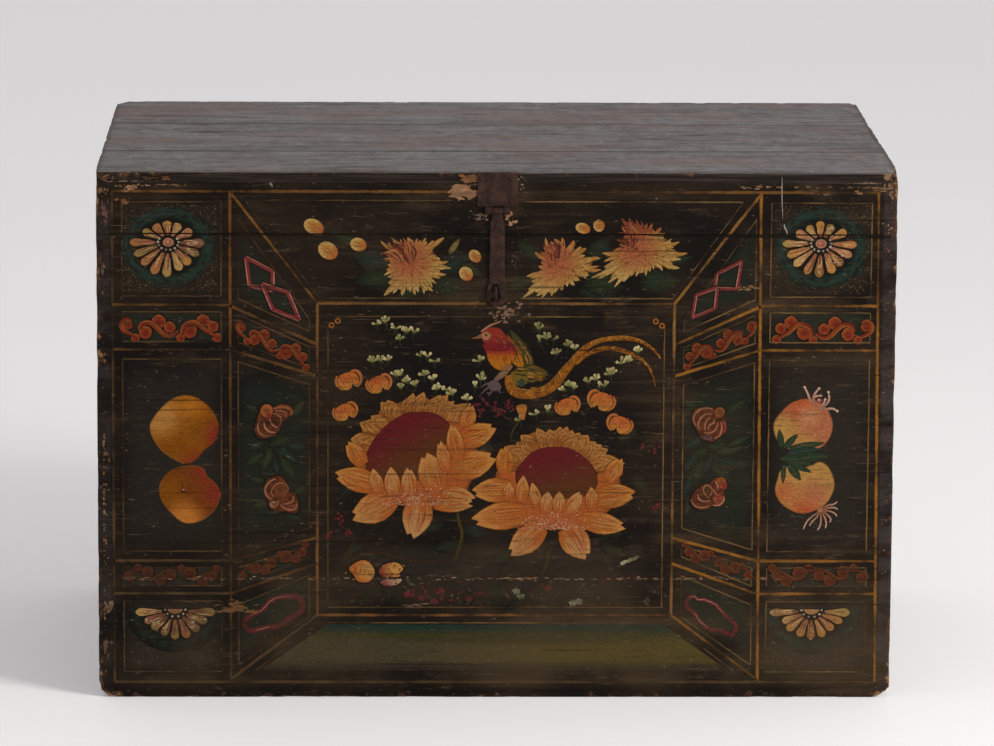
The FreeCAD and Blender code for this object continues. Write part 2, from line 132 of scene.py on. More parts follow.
def blend_tones(share, first, second):
    made = add_node(share.id_data, "ShaderNodeMix", {0: share, 6: first, 7: second}, data_type="RGBA")
    return made.outputs[2]


def stained(under, where, strength, colour):
    # a colour laid over another: where it lies, and how thickly
    return blend_tones(times(where, strength), under, tone(colour))


def surface_place(tree):
    return add_node(tree, "ShaderNodeTexCoord", {}).outputs["Object"]


def mottle(place, stretch, scale, detail=3.0, rough=0.55):
    tree = place.id_data
    spread = add_node(tree, "ShaderNodeMapping", {"Vector": place, "Scale": stretch}).outputs[0]
    made = add_node(tree, "ShaderNodeTexNoise",
                    {"Vector": spread, "Scale": scale, "Detail": detail, "Roughness": rough})
    return made.outputs["Fac"]


def along_axes(place):
    return add_node(place.id_data, "ShaderNodeSeparateXYZ", {0: place}).outputs


def outside_distances(place):
    # how deep a point lies behind the outer faces, and how near it is to an outer edge of the chest
    parts = along_axes(place)
    depths = []
    for axis in range(3):
        depths.append(minus(WOOD_HALF[axis], apart(parts[axis], WOOD_MIDDLE[axis])))
    sideways = reckon("MINIMUM", depths[0], depths[1])
    wider = larger(depths[0], depths[1])
    edge = larger(sideways, reckon("MINIMUM", wider, depths[2]))
    return sideways, depths[2], edge, parts


def inside_share(depth):
    # 0 on the outer faces of the boards and 1 on the inner ones
    return between(depth, 0.007, 0.011)


def bare_wood(place, stretch, joints=()):
    # joints: where boards meet, each as the axis across the joint and its place on it
    grain = mottle(place, stretch, 130, 4, 0.6)
    fine = mottle(place, stretch, 480, 3, 0.6)
    stains = mottle(place, EVEN, 8, 4, 0.6)
    colour = blend_tones(between(grain, 0.35, 0.66), tone(INSIDE_WOOD_DARK), tone(INSIDE_WOOD))
    colour = stained(colour, between(fine, 0.50, 0.70), 0.5, INSIDE_PORES)
    colour = stained(colour, between(stains, 0.46, 0.66), 0.45, INSIDE_STAIN)
    parts = along_axes(place)
    for axis, where in joints:
        gap = between(apart(parts[axis], where), 0.0016, 0.0006)
        colour = stained(colour, gap, 0.8, INSIDE_JOINT)
    return colour


# places that are knocked and rubbed more than the rest, each with its reach, in metres
KNOCKED_SPOTS = (
    ((0.450, -0.283, 0.594), 0.042), ((-0.450, -0.283, 0.592), 0.060), ((-0.440, -0.283, 0.498), 0.026),
    ((-0.444, -0.283, 0.393), 0.018), ((-0.450, -0.283, 0.008), 0.050), ((0.450, -0.283, 0.006), 0.045),
    ((-0.440, -0.283, 0.105), 0.024), ((0.450, -0.283, 0.538), 0.018), ((0.450, 0.297, 0.600), 0.060),
    ((-0.450, 0.297, 0.300), 0.080),
)


def edge_loss(place, edge, chips):
    # where the finish is gone near the outer edges, down to the undercoat and down to the wood
    patches = between(mottle(place, EVEN, 11, 2), 0.47, 0.62)
    knocks = 0.0
    for spot, reach in KNOCKED_SPOTS:
        away = add_node(place.id_data, "ShaderNodeVectorMath", {0: place, 1: spot}, operation="DISTANCE")
        knocks = larger(knocks, between(away.outputs["Value"], reach, reach * 0.2))
    loss = times(minus(chips, 0.53), 0.05)
    loss = plus(loss, times(patches, 0.0025))
    loss = plus(loss, times(knocks, 0.0075))
    loss = minus(loss, edge)
    return between(loss, -0.0008, 0.0012), between(loss, 0.0038, 0.0062)


def aged_lacquer(tree, stretch, joints, paint=None):
    # returns colour, roughness and relief; paint is a pair of sockets, its colour and its cover
    place = surface_place(tree)
    depth, rise, edge, parts = outside_distances(place)
    streaks = mottle(place, stretch, 90, 5, 0.62)
    clouds = mottle(place, EVEN, 7, 3)
    chips = mottle(place, EVEN, 95, 5, 0.65)
    specks = mottle(place, stretch, 420, 2)
    hairs = mottle(place, tuple(share if share == 1 else share / 3 for share in stretch), 170, 2)
    grit = mottle(place, (0.5, 1, 1), 620, 2, 0.7)
    smudges = mottle(place, (0.4, 1, 1), 34, 5, 0.7)
    colour = blend_tones(between(clouds, 0.36, 0.66), tone(LACQUER_DARK), tone(LACQUER_WARM))
    rubbed = times(between(streaks, 0.48, 0.66), between(clouds, 0.36, 0.60))
    colour = stained(colour, rubbed, 0.65, LACQUER_RUBBED)
    colour = stained(colour, between(smudges, 0.52, 0.68), 0.45, LACQUER_RUBBED)
    colour = stained(colour, between(grit, 0.50, 0.66), 0.3, LACQUER_DARK)
    # on the front, the left half is darker: partly painted shade, as the light falls from the right, and
    # partly a difference in dust;
    # the margins outside the ruled border are blacker and greyer
    facing = between(parts[1], FRONT + 0.004, FRONT + 0.002)
    shaded_left_half = times(facing, between(parts[0], 0.10, -0.25))
    colour = stained(colour, shaded_left_half, 0.4, LACQUER_DARK)
    for way, worn, patchy in ((-1, MARGIN_LEFT, 0.40), (1, MARGIN_RIGHT, 0.34)):
        margin = times(facing, between(times(parts[0], way), 0.432, 0.437))
        colour = stained(colour, margin, between(smudges, patchy, 0.62), worn)
    if paint:
        # the colours are uneven and gritty, and rubbed and pitted down to the lacquer along the grain
        uneven = plus(0.80, times(between(grit, 0.3, 0.7), 0.36))
        uneven = minus(uneven, times(between(streaks, 0.45, 0.75), 0.12))
        brushed = add_node(tree, "ShaderNodeHueSaturation", {"Color": paint[0], "Value": uneven}).outputs[0]
        thinned = times(between(streaks, 0.54, 0.76), 0.5)
        pitted = times(between(specks, 0.60, 0.72), 0.5)
        left = reckon("SUBTRACT", minus(1.0, thinned), pitted, clamp=True)
        colour = blend_tones(times(left, paint[1]), colour, brushed)
    # hair cracks along the grain, scuffs, dust in the lower part and pale specks all over
    crack = between(hairs, 0.64, 0.70)
    colour = stained(colour, crack, 0.55, LACQUER_CRACK)
    scuffs = between(mottle(place, (0.14, 1, 1), 230, 4, 0.75), 0.57, 0.68)
    scuffs = times(scuffs, between(smudges, 0.44, 0.60))
    colour = stained(colour, scuffs, 0.5, SCUFF)
    low = times(between(parts[2], 0.20, 0.03), between(clouds, 0.30, 0.66))
    low = times(low, between(parts[2], 0.006, 0.024))
    colour = stained(colour, low, 0.34, DUST)
    pale_specks = between(mottle(place, (0.35, 1, 1), 330, 3, 0.7), 0.665, 0.72)
    colour = stained(colour, pale_specks, 0.4, PALE_SPECK)
    # joints between boards, where the lacquer has flaked in a broken line
    flaked = 0.0
    for height, loss in joints:
        reach = times(minus(chips, 0.60 - loss), 0.014)
        shown = minus(reach, apart(parts[2], height))
        flaked = larger(flaked, between(shown, -0.0003, 0.0006))
    colour = stained(colour, flaked, 0.5, FLAKED)
    brown, wood = edge_loss(place, edge, chips)
    colour = stained(colour, brown, 0.85, UNDERCOAT)
    colour = stained(colour, wood, 0.9, BARE_PALE)
    inner = inside_share(depth)
    bare = bare_wood(place, stretch, [(2, height) for height, loss in joints])
    colour = blend_tones(inner, colour, bare)
    rough = plus(0.45, times(between(streaks, 0.4, 0.8), 0.22))
    rough = larger(rough, times(larger(brown, inner), 0.8))
    relief = minus(times(streaks, 0.6), times(larger(brown, crack), 0.5))
    return colour, rough, relief


def finish_surface(material, colour, rough, relief, lift, metal=0.0, specular=0.06):
    tree = material.node_tree
    shader = tree.nodes["Principled BSDF"]
    shader.inputs["Metallic"].default_value = metal
    shader.inputs["Specular IOR Level"].default_value = specular
    tree.links.new(colour, shader.inputs["Base Color"])
    tree.links.new(rough, shader.inputs["Roughness"])
    bump = add_node(tree, "ShaderNodeBump", {"Height": relief, "Distance": lift, "Strength": 0.6})
    tree.links.new(bump.outputs[0], shader.inputs["Normal"])


def new_surface(name):
    material = bpy.data.materials.new(name)
    material.use_nodes = True
    return material


FRONT_JOINTS = [(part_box("front_board_lower")[1].z, 0.085), (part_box("front_board_middle")[1].z, 0.0)]
END_JOINTS = [(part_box("left_end_board_lower")[1].z, 0.03), (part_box("left_end_board_middle")[1].z, 0.0)]
front_lacquer = new_surface("front_lacquer")
finish_surface(front_lacquer, *aged_lacquer(front_lacquer.node_tree, ALONG_X, FRONT_JOINTS), 0.0006)
end_lacquer = new_surface("end_lacquer")
finish_surface(end_lacquer, *aged_lacquer(end_lacquer.node_tree, ALONG_Y, END_JOINTS), 0.0006)

EDGE_ROUND = 0.0026
SEAM_ROUND = 0.0012
EDGE_STEP = 0.007
DENT = 0.0022
TOUCH = 0.00005
HINGE_LINE = (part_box("hinge_left_pin")[0].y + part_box("hinge_left_pin")[1].y) / 2
# corners that have lost wood: the corner, the size of the loss along x, y and z,
# and its roundness (1 is a flat break)
LOST_CORNERS = (
    ((WOOD_LOW.x, WOOD_LOW.y, WOOD_LOW.z), (0.026, 0.045, 0.029), 3.0),
    ((WOOD_HIGH.x, WOOD_LOW.y, WOOD_LOW.z), (0.021, 0.030, 0.012), 1.3),
    ((WOOD_HIGH.x, WOOD_LOW.y, WOOD_HIGH.z), (0.011, 0.030, 0.013), 2.0),
    ((WOOD_LOW.x, WOOD_HIGH.y, WOOD_HIGH.z), (0.014, 0.024, 0.008), 1.4),
)


def on_outer_faces(point):
    # the outer planes of the closed chest that a point lies on, as (axis, direction) pairs
    found = []
    for axis in range(3):
        for way, limit in ((-1, WOOD_LOW[axis]), (1, WOOD_HIGH[axis])):
            if abs(point[axis] - limit) < TOUCH:
                found.append((axis, way))
    return found


def shared_faces(edge):
    return set(on_outer_faces(edge.verts[0].co)) & set(on_outer_faces(edge.verts[1].co))


def at_seam(edge):
    level = all(abs(corner.co.z - SEAM) < TOUCH for corner in edge.verts)
    on_hinge_line = all(abs(corner.co.y - HINGE_LINE) < TOUCH for corner in edge.verts)
    return level and (on_hinge_line or len(shared_faces(edge)) == 1)


def dent_inwards(form):
    # the rubbed edges are not straight: each point near an outer edge gives way a little
    for corner in form.verts:
        near = []
        for axis in range(3):
            for way, limit in ((-1, WOOD_LOW[axis]), (1, WOOD_HIGH[axis])):
                if abs(corner.co[axis] - limit) < EDGE_ROUND * 1.05:
                    near.append((axis, way))
        if len(near) < 2:
            continue
        give = noise.noise(corner.co * 23) * 0.6 + noise.noise(corner.co * 71) * 0.5
        if len(near) == 3:
            give += 0.6
        for axis, way in near:
            corner.co[axis] -= way * max(0.0, give) * DENT


def corners_of(node):
    # the lost corners that a piece reaches into
    low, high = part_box(node)
    found = []
    for corner, size, roundness in LOST_CORNERS:
        reach = [size[axis] if corner[axis] < WOOD_MIDDLE[axis] else -size[axis] for axis in range(3)]
        inside = [low[axis] < max(corner[axis], corner[axis] + reach[axis]) and
                  high[axis] > min(corner[axis], corner[axis] + reach[axis]) for axis in range(3)]
        if all(inside):
            found.append((corner, reach, roundness))
    return found


def part_at_corners(form, corners):
    # cuts round each lost corner, so that only the faces there bend
    for corner, reach, roundness in corners:
        for axis in range(3):
            facing = [1.0 if axis == number else 0.0 for number in range(3)]
            level = [corner[number] + reach[number] for number in range(3)]
            bmesh.ops.bisect_plane(form, geom=form.verts[:] + form.edges[:] + form.faces[:], dist=TOUCH,
                                   plane_co=level, plane_no=facing)


def wear_corners(form, corners):
    for point in form.verts:
        for corner, reach, roundness in corners:
            left = [1 - (point.co[axis] - corner[axis]) / reach[axis] for axis in range(3)]
            if min(left) <= 0:
                continue
            over = (left[0] ** roundness + left[2] ** roundness) ** (1 / roundness)
            ragged = 1 + 0.12 * noise.noise(point.co * 160)
            if over * ragged <= 1:
                continue
            keep = 1 + (1 / (over * ragged) - 1) * min(1.0, left[1] * 1.6)
            for axis in (0, 2):
                point.co[axis] = corner[axis] + reach[axis] * (1 - left[axis] * keep)


def cleaned_form(node):
    # a CAD piece as one mesh of whole faces
    form = bmesh.new()
    form.from_mesh(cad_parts[node].data)
    bmesh.ops.remove_doubles(form, verts=form.verts, dist=TOUCH / 10)
    bmesh.ops.dissolve_limit(form, angle_limit=math.radians(1), verts=form.verts, edges=form.edges)
    return form


def round_edges(form, edges, offset, segments, profile):
    bmesh.ops.bevel(form, geom=edges, offset=offset, offset_type="OFFSET", segments=segments,
                    profile=profile, affect="EDGES", clamp_overlap=True)


def stand_for(node, name, form, body, material):
    # the finished form takes the place of a CAD piece
    mesh = bpy.data.meshes.new(name)
    form.to_mesh(mesh)
    form.free()
    mesh.materials.append(material)
    piece = bpy.data.objects.new(name, mesh)
    bpy.context.scene.collection.objects.link(piece)
    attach(piece, body)
    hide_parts(node)
    return mesh


def worn_copy(node, body, material):
    form = cleaned_form(node)
    corners = corners_of(node)
    part_at_corners(form, corners)
    for edge in [e for e in form.edges if len(shared_faces(e)) == 2]:
        cuts = int(edge.calc_length() / EDGE_STEP)
        if cuts:
            bmesh.ops.subdivide_edges(form, edges=[edge], cuts=cuts)
    round_edges(form, [e for e in form.edges if len(shared_faces(e)) == 2], EDGE_ROUND, 3, 0.55)
    round_edges(form, [e for e in form.edges if at_seam(e)], SEAM_ROUND, 2, 0.5)
    dent_inwards(form)
    wear_corners(form, corners)
    stand_for(node, f"worn_{node}", form, body, material)


LEVELS = ("lower", "middle", "upper")
for level in LEVELS:
    worn_copy(f"front_board_{level}", "box", front_lacquer)
    worn_copy(f"back_board_{level}", "box", front_lacquer)
    for side in ("left", "right"):
        worn_copy(f"{side}_end_board_{level}", "box", end_lacquer)

# Bottom boards and their battens: unfinished softwood, sawn and darkened, set in a groove of the walls.
# Only their upper face shows, when the lid is open.
plain_wood = new_surface("plain_wood")
plain_tree = plain_wood.node_tree
plain_place = surface_place(plain_tree)
plain_grain = mottle(plain_place, ALONG_X, 120, 3)
plain_rough = plus(0.62, times(plain_grain, 0.2))
finish_surface(plain_wood, bare_wood(plain_place, ALONG_X), plain_rough, plain_grain, 0.0005)


def dress(node, material):
    cad_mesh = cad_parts[node].data
    cad_mesh.materials.clear()
    cad_mesh.materials.append(material)


for place in ("front", "middle", "rear"):
    dress(f"bottom_board_{place}", plain_wood)
for side in ("left", "right"):
    dress(f"bottom_batten_{side}", plain_wood)
    dress(f"lid_batten_{side}", plain_wood)
for pegs in ("box_edge_pegs", "lid_edge_pegs"):
    dress(pegs, plain_wood)

# Lid: four dovetailed rails lacquered like the box, and three long boards pegged on top of them.
# The boards' upper side has lost its finish and weathered grey, with the grain standing out.
for side in ("front", "back"):
    worn_copy(f"lid_{side}_rail", "lid", front_lacquer)
for side in ("left", "right"):
    worn_copy(f"lid_{side}_rail", "lid", end_lacquer)

TOP_GREY = (114, 108, 107)
TOP_DARK = (84, 79, 77)
TOP_PALE = (142, 137, 136)
TOP_WARM = (118, 96, 86)
TOP_CRACK = (48, 42, 39)
TOP_STAIN = (78, 70, 66)
TOP_KNOT = (72, 58, 52)
TOP_CORNER = (70, 60, 54)
SIDE_DARK = (30, 24, 20)
SIDE_WORN = (50, 42, 37)
RAIL_LINE = (112, 90, 72)
# knots in the lid boards: middle and half size, in metres
KNOTS = ((0.186, -0.020, 0.034, 0.011), (0.238, 0.014, 0.022, 0.007), (-0.331, 0.029, 0.030, 0.009),
         (0.111, -0.079, 0.016, 0.006), (-0.020, 0.190, 0.020, 0.007))
lid_boards = new_surface("weathered_lid")


def weathered_top(tree):
    place = surface_place(tree)
    depth, rise, edge, parts = outside_distances(place)
    bands = mottle(place, (0.16, 1, 1), 42, 5, 0.65)
    stains = mottle(place, (0.9, 0.55, 1), 60, 5, 0.75)
    lines = mottle(place, (0.03, 1, 1), 330, 4, 0.7)
    clouds = mottle(place, (0.6, 1, 1), 8, 4, 0.6)
    grit = mottle(place, (0.3, 1, 1), 520, 3, 0.7)
    chips = mottle(place, EVEN, 95, 5, 0.65)
    cracks = mottle(place, (0.03, 1, 1), 130, 3, 0.6)
    colour = blend_tones(between(bands, 0.34, 0.60), tone(TOP_DARK), tone(TOP_GREY))
    colour = stained(colour, between(stains, 0.50, 0.64), 0.7, TOP_STAIN)
    colour = stained(colour, between(stains, 0.46, 0.34), 0.5, TOP_PALE)
    colour = stained(colour, between(lines, 0.47, 0.60), 0.6, TOP_PALE)
    colour = stained(colour, between(grit, 0.50, 0.62), 0.55, TOP_DARK)
    colour = stained(colour, between(clouds, 0.50, 0.62), 0.42, TOP_WARM)
    split = times(between(cracks, 0.64, 0.69), between(clouds, 0.30, 0.55))
    lid_joints = (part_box("lid_board_front")[1].y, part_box("lid_board_middle")[1].y)
    for joint in lid_joints:
        waver = times(minus(bands, 0.2), 0.0120)
        open_share = between(minus(waver, apart(parts[1], joint)), -0.0005, 0.0005)
        split = larger(split, open_share)
    colour = stained(colour, split, 0.6, TOP_CRACK)
    for x, y, half_x, half_y in KNOTS:
        offset = add_node(tree, "ShaderNodeVectorMath", {0: place, 1: (x, y, 0)},
                          operation="SUBTRACT").outputs[0]
        spread = add_node(tree, "ShaderNodeVectorMath", {0: offset, 1: (1 / half_x, 1 / half_y, 0)},
                          operation="MULTIPLY").outputs[0]
        away = add_node(tree, "ShaderNodeVectorMath", {0: spread}, operation="LENGTH").outputs["Value"]
        away = plus(away, times(minus(bands, 0.5), 1.6))
        colour = stained(colour, between(away, 1.2, 0.2), 0.8, TOP_KNOT)
    # the sides of the boards kept their lacquer, which is gone in patches along the upper corner
    side_face = between(rise, 0.0012, 0.0026)
    brown, wood = edge_loss(place, edge, chips)
    worn_top = between(minus(times(chips, 0.012), edge), 0.0, 0.003)
    colour = stained(colour, worn_top, 0.5, TOP_CORNER)
    dark = blend_tones(between(lines, 0.42, 0.64), tone(SIDE_DARK), tone(SIDE_WORN))
    dark = stained(dark, brown, 0.8, UNDERCOAT)
    dark = stained(dark, wood, 0.9, BARE_PALE)
    # near the two ends a pale line shows where the boards sit on the rails
    above_rail = minus(parts[2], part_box("lid_board_front")[0].z)
    ends = between(reckon("ABSOLUTE", parts[0]), 0.37, 0.43)
    shown = minus(times(minus(chips, 0.46), 0.014), above_rail)
    dark = stained(dark, ends, between(shown, -0.0005, 0.0006), RAIL_LINE)
    bare = bare_wood(place, ALONG_X, [(1, joint) for joint in lid_joints])
    under = blend_tones(inside_share(depth), dark, bare)
    colour = blend_tones(side_face, colour, under)
    rough = plus(0.6, times(lines, 0.25))
    relief = minus(plus(plus(lines, bands), grit), split)
    return colour, rough, relief


finish_surface(lid_boards, *weathered_top(lid_boards.node_tree), 0.0009)
for place in ("front", "middle", "rear"):
    worn_copy(f"lid_board_{place}", "lid", lid_boards)
dress("lid_board_pegs", lid_boards)

# Iron fittings: hinge leaves, pins and nails, the hasp and its keeper, all wrought by hand.
# Browned iron with some rust, rougher in the pits and a little brighter where it is handled.
IRON_BROWN = (44, 31, 29)
IRON_RUST = (64, 43, 34)
IRON_WORN = (72, 58, 53)
iron = new_surface("browned_iron")


def browned_iron(tree):
    place = surface_place(tree)
    pits = mottle(place, EVEN, 700, 4, 0.6)
    patches = mottle(place, EVEN, 90, 4)
    colour = blend_tones(between(patches, 0.42, 0.66), tone(IRON_BROWN), tone(IRON_RUST))
    colour = stained(colour, between(pits, 0.52, 0.72), 0.5, IRON_WORN)
    rough = plus(0.5, times(pits, 0.3))
    return colour, rough, pits


finish_surface(iron, *browned_iron(iron.node_tree), 0.0004, metal=0.12)


def smooth_copy(node, body, rounding):
    form = cleaned_form(node)
    sharp = [e for e in form.edges if len(e.link_faces) == 2 and e.calc_face_angle() > math.radians(50)]
    round_edges(form, sharp, rounding, 2, 0.6)
    mesh = stand_for(node, f"wrought_{node}", form, body, iron)
    mesh.polygons.foreach_set("use_smooth", [True] * len(mesh.polygons))
    mesh.set_sharp_from_angle(angle=math.radians(35))


for side in ("left", "right"):
    smooth_copy(f"hinge_{side}_box_leaf", "box", 0.0003)
    smooth_copy(f"hinge_{side}_lid_leaf", "lid", 0.0003)
    dress(f"hinge_{side}_pin", iron)
for nails in ("box_hinge_nails", "lid_hinge_nails", "bottom_batten_nails", "hasp_plate_nails"):
    dress(nails, iron)
smooth_copy("hasp_plate", "lid", 0.0005)
smooth_copy("hasp_strap", "hasp", 0.0005)
for fitting in ("hasp_pin", "hasp_rivet", "keeper_staple"):
    dress(fitting, iron)

# Painted front: oil colours brushed on the lacquer in thin coats, from the ground tints up.
# Each motif is a film of its own, a few tenths of a millimetre proud, and rubbed like the lacquer.
# Paint that crosses the opening is cut there, so its upper part rides on the lid.
COAT = 0.00007
NEXT_MARK = 0.000002
MARK_LEVELS = 19
STACKED = 1000
ROOT = 0.0005
OPENING = 0.0008
MILLIMETRE = 0.001
RIM_COVER = 0.45
STROKE_RIM_COVER = 0.6

painted = new_surface("painted_lacquer")
brushed = add_node(painted.node_tree, "ShaderNodeAttribute", {}, attribute_name="paint").outputs
paint_sockets = (brushed["Color"], brushed["Alpha"])
finish_surface(painted, *aged_lacquer(painted.node_tree, ALONG_X, FRONT_JOINTS, paint_sockets), 0.0006)


def new_film(coats, levels=MARK_LEVELS):
    # coats: how thickly it is painted; levels: after how many marks the heights start again,
    # which is STACKED in a film painted strictly in order
    return {"points": [], "tones": [], "faces": [], "marks": 0, "coats": coats, "levels": levels}


def mark_height(film, coats):
    # each mark lies a hair over the one before it, so no two lie in one plane
    film["marks"] += 1
    return (coats or film["coats"]) * COAT + film["marks"] % film["levels"] * NEXT_MARK


def mixed(first, second, share):
    share = min(max(share, 0.0), 1.0)
    whole = [(*colour, 1.0) if len(colour) == 3 else colour for colour in (first, second)]
    return tuple(a + (b - a) * share for a, b in zip(*whole))


def faint(colour, share):
    # the same colour, covering less
    return (*colour[:3], (colour[3] if len(colour) == 4 else 1.0) * share)


def chosen(shade, *where):
    return shade(*where) if callable(shade) else shade


def flow(knots, count, closed=False):
    # a smooth line through a few given points
    total = len(knots)
    spans = total if closed else total - 1
    line = []
    for number in range(count):
        reach = number / (count if closed else count - 1) * spans
        first = min(int(reach), spans - 1)
        t = reach - first
        near = []
        for step in (-1, 0, 1, 2):
            index = first + step
            near.append(knots[index % total] if closed else knots[min(max(index, 0), total - 1)])
        a, b, c, d = near
        spot = []
        for k in (0, 1):
            cubic = 3 * (b[k] - c[k]) + d[k] - a[k]
            square = 2 * a[k] - 5 * b[k] + 4 * c[k] - d[k] + t * cubic
            spot.append(b[k] + 0.5 * t * (c[k] - a[k] + t * square))
        line.append(tuple(spot))
    return line


def middle_of(points):
    return tuple(sum(point[k] for point in points) / len(points) for k in (0, 1))


def part_way(first, second, share):
    return (first[0] + (second[0] - first[0]) * share, first[1] + (second[1] - first[1]) * share)


def film_point(film, x, z, height, colour):
    film["points"].append((x * MILLIMETRE, FRONT - height, z * MILLIMETRE))
    film["tones"].append(tone(colour))


def lay_patch(film, outline, shade, middle=None, rings=(1.0, 0.9, 0.5), rim=RIM_COVER, coats=None):
    # a filled shape: rings of points drawn in towards its middle, thin at the rim and closed behind
    middle = middle or middle_of(outline)
    start = len(film["points"])
    count = len(outline)
    height = mark_height(film, coats)
    for ring in rings:
        for point in outline:
            spot = part_way(middle, point, ring)
            colour = chosen(shade, *spot, ring)
            film_point(film, *spot, height, faint(colour, rim) if ring == 1.0 else colour)
    film_point(film, *middle, height, chosen(shade, *middle, 0.0))
    hub = start + count * len(rings)
    for x, z in outline:
        film_point(film, x, z, -ROOT, chosen(shade, x, z, 1.0))
    behind = hub + 1
    for number in range(count):
        following = (number + 1) % count
        for ring in range(len(rings) - 1):
            outer = start + ring * count
            inner = outer + count
            film["faces"].append((outer + number, outer + following, inner + following, inner + number))
        last = start + (len(rings) - 1) * count
        film["faces"].append((last + number, last + following, hub))
        film["faces"].append((start + following, start + number, behind + number, behind + following))
    film["faces"].append(tuple(behind + number for number in reversed(range(count))))


def lay_stroke(film, line, width, shade, rim=STROKE_RIM_COVER, coats=None):
    # a brush mark along a line: left, middle and right points in front, two behind in the wood
    start = len(film["points"])
    last = len(line) - 1
    height = mark_height(film, coats)
    for number, (x, z) in enumerate(line):
        before = line[max(number - 1, 0)]
        after = line[min(number + 1, last)]
        run = math.hypot(after[0] - before[0], after[1] - before[1]) or 1.0
        across = (-(after[1] - before[1]) / run, (after[0] - before[0]) / run)
        t = number / last
        half = max(chosen(width, t) / 2, 0.12)
        for side in (1, 0, -1):
            colour = chosen(shade, t, side)
            film_point(film, x + across[0] * half * side, z + across[1] * half * side, height,
                       faint(colour, rim) if side else colour)
        for side in (-1, 1):
            film_point(film, x + across[0] * half * side, z + across[1] * half * side, -ROOT,
                       chosen(shade, t, side))
    for number in range(last):
        here = start + number * 5
        for corner in range(5):
            following = (corner + 1) % 5
            film["faces"].append((here + following, here + corner, here + 5 + corner, here + 5 + following))
    film["faces"].append(tuple(start + corner for corner in range(5)))
    film["faces"].append(tuple(start + last * 5 + corner for corner in reversed(range(5))))


def lay_field(film, corners, shade, columns=14, rows=6):
    # a tinted area between four corners, from the lower left round;
    # shade is asked with the shares across and up
    start = len(film["points"])
    height = mark_height(film, None)
    spots = []
    for row in range(rows + 1):
        for column in range(columns + 1):
            across, up = column / columns, row / rows
            weights = ((1 - across) * (1 - up), across * (1 - up), across * up, (1 - across) * up)
            spot = [sum(weight * corner[k] for weight, corner in zip(weights, corners)) for k in (0, 1)]
            spots.append((*spot, shade(across, up)))
            film_point(film, *spot, height, shade(across, up))
    wide = columns + 1
    for row in range(rows):
        for column in range(columns):
            here = start + row * wide + column
            film["faces"].append((here, here + 1, here + wide + 1, here + wide))
    rim = list(range(columns)) + [columns + row * wide for row in range(rows)]
    rim += [rows * wide + column for column in range(columns, 0, -1)]
    rim += [row * wide for row in range(rows, 0, -1)]
    behind = len(film["points"])
    for number in rim:
        film_point(film, *spots[number][:2], -ROOT, spots[number][2])
    for number, here in enumerate(rim):
        following = (number + 1) % len(rim)
        film["faces"].append((start + here, start + rim[following], behind + following, behind + number))
    film["faces"].append(tuple(behind + number for number in range(len(rim))))


def brush(width, start=0.25, end=0.05, peak=0.4):
    # how wide a loaded brush draws from one end of a mark to the other
    def drawn(t):
        if t < peak:
            return width * (start + (1 - start) * math.sin(math.pi / 2 * t / peak))
        return width * (end + (1 - end) * math.cos(math.pi / 2 * (t - peak) / (1 - peak)))
    return drawn


def hang_film(film, name):
    heights = [point[2] for point in film["points"]]
    for body, keeps_upper in (("box", False), ("lid", True)):
        level = SEAM + (OPENING if keeps_upper else -OPENING)
        if (keeps_upper and max(heights) < level) or (not keeps_upper and min(heights) > level):
            continue
        form = bmesh.new()
        shade_layer = form.verts.layers.float_color.new("paint")
        corners = []
        for point, colour in zip(film["points"], film["tones"]):
            corner = form.verts.new(point)
            corner[shade_layer] = colour
            corners.append(corner)
        for face in film["faces"]:
            form.faces.new([corners[number] for number in face])
        bmesh.ops.recalc_face_normals(form, faces=form.faces)
        if min(heights) < level < max(heights):
            bmesh.ops.bisect_plane(form, geom=form.verts[:] + form.edges[:] + form.faces[:],
                                   plane_co=(0, 0, level), plane_no=(0, 0, 1),
                                   clear_inner=keeps_upper, clear_outer=not keeps_upper)
            bmesh.ops.holes_fill(form, edges=[e for e in form.edges if e.is_boundary], sides=0)
        if form.faces:
            mesh = bpy.data.meshes.new(f"paint_{name}_{body}")
            form.to_mesh(mesh)
            mesh.materials.append(painted)
            piece = bpy.data.objects.new(mesh.name, mesh)
            bpy.context.scene.collection.objects.link(piece)
            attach(piece, body)
        form.free()


# Ground tints: thin colour that warms or greens the lacquer inside the ruled cells.
# The lowest panel is a floor seen in perspective, blue-green at the back and olive in front.
FLOOR_TEAL = (22, 40, 34)
FLOOR_GREEN = (50, 48, 20)
FLOOR_GREY = (62, 54, 36)
FLOOR_OLIVE = (74, 62, 26)
FLOOR_BROWN = (42, 34, 26)
tints = new_film(coats=1)


def floor_shade(across, up):
    mound = 0.5 + 0.3 * abs(across - 0.6)
    colour = mixed(FLOOR_GREY, FLOOR_OLIVE, (across - 0.3) / 0.35)
    colour = mixed(colour, FLOOR_GREEN, (up - mound) / 0.16)
    colour = mixed(colour, FLOOR_TEAL, (up - 0.8) / 0.12)
    colour = mixed(FLOOR_BROWN, colour, (up - 0.06) / 0.16)
    return faint(colour, min(1.0, 0.5 + 6 * up) * 0.9)


def cell_shade(colour, cover):
    # full in the middle of a cell and gone at its border
    return lambda across, up: faint(colour, cover * min(1.0, 6 * min(across, 1 - across, up, 1 - up)))


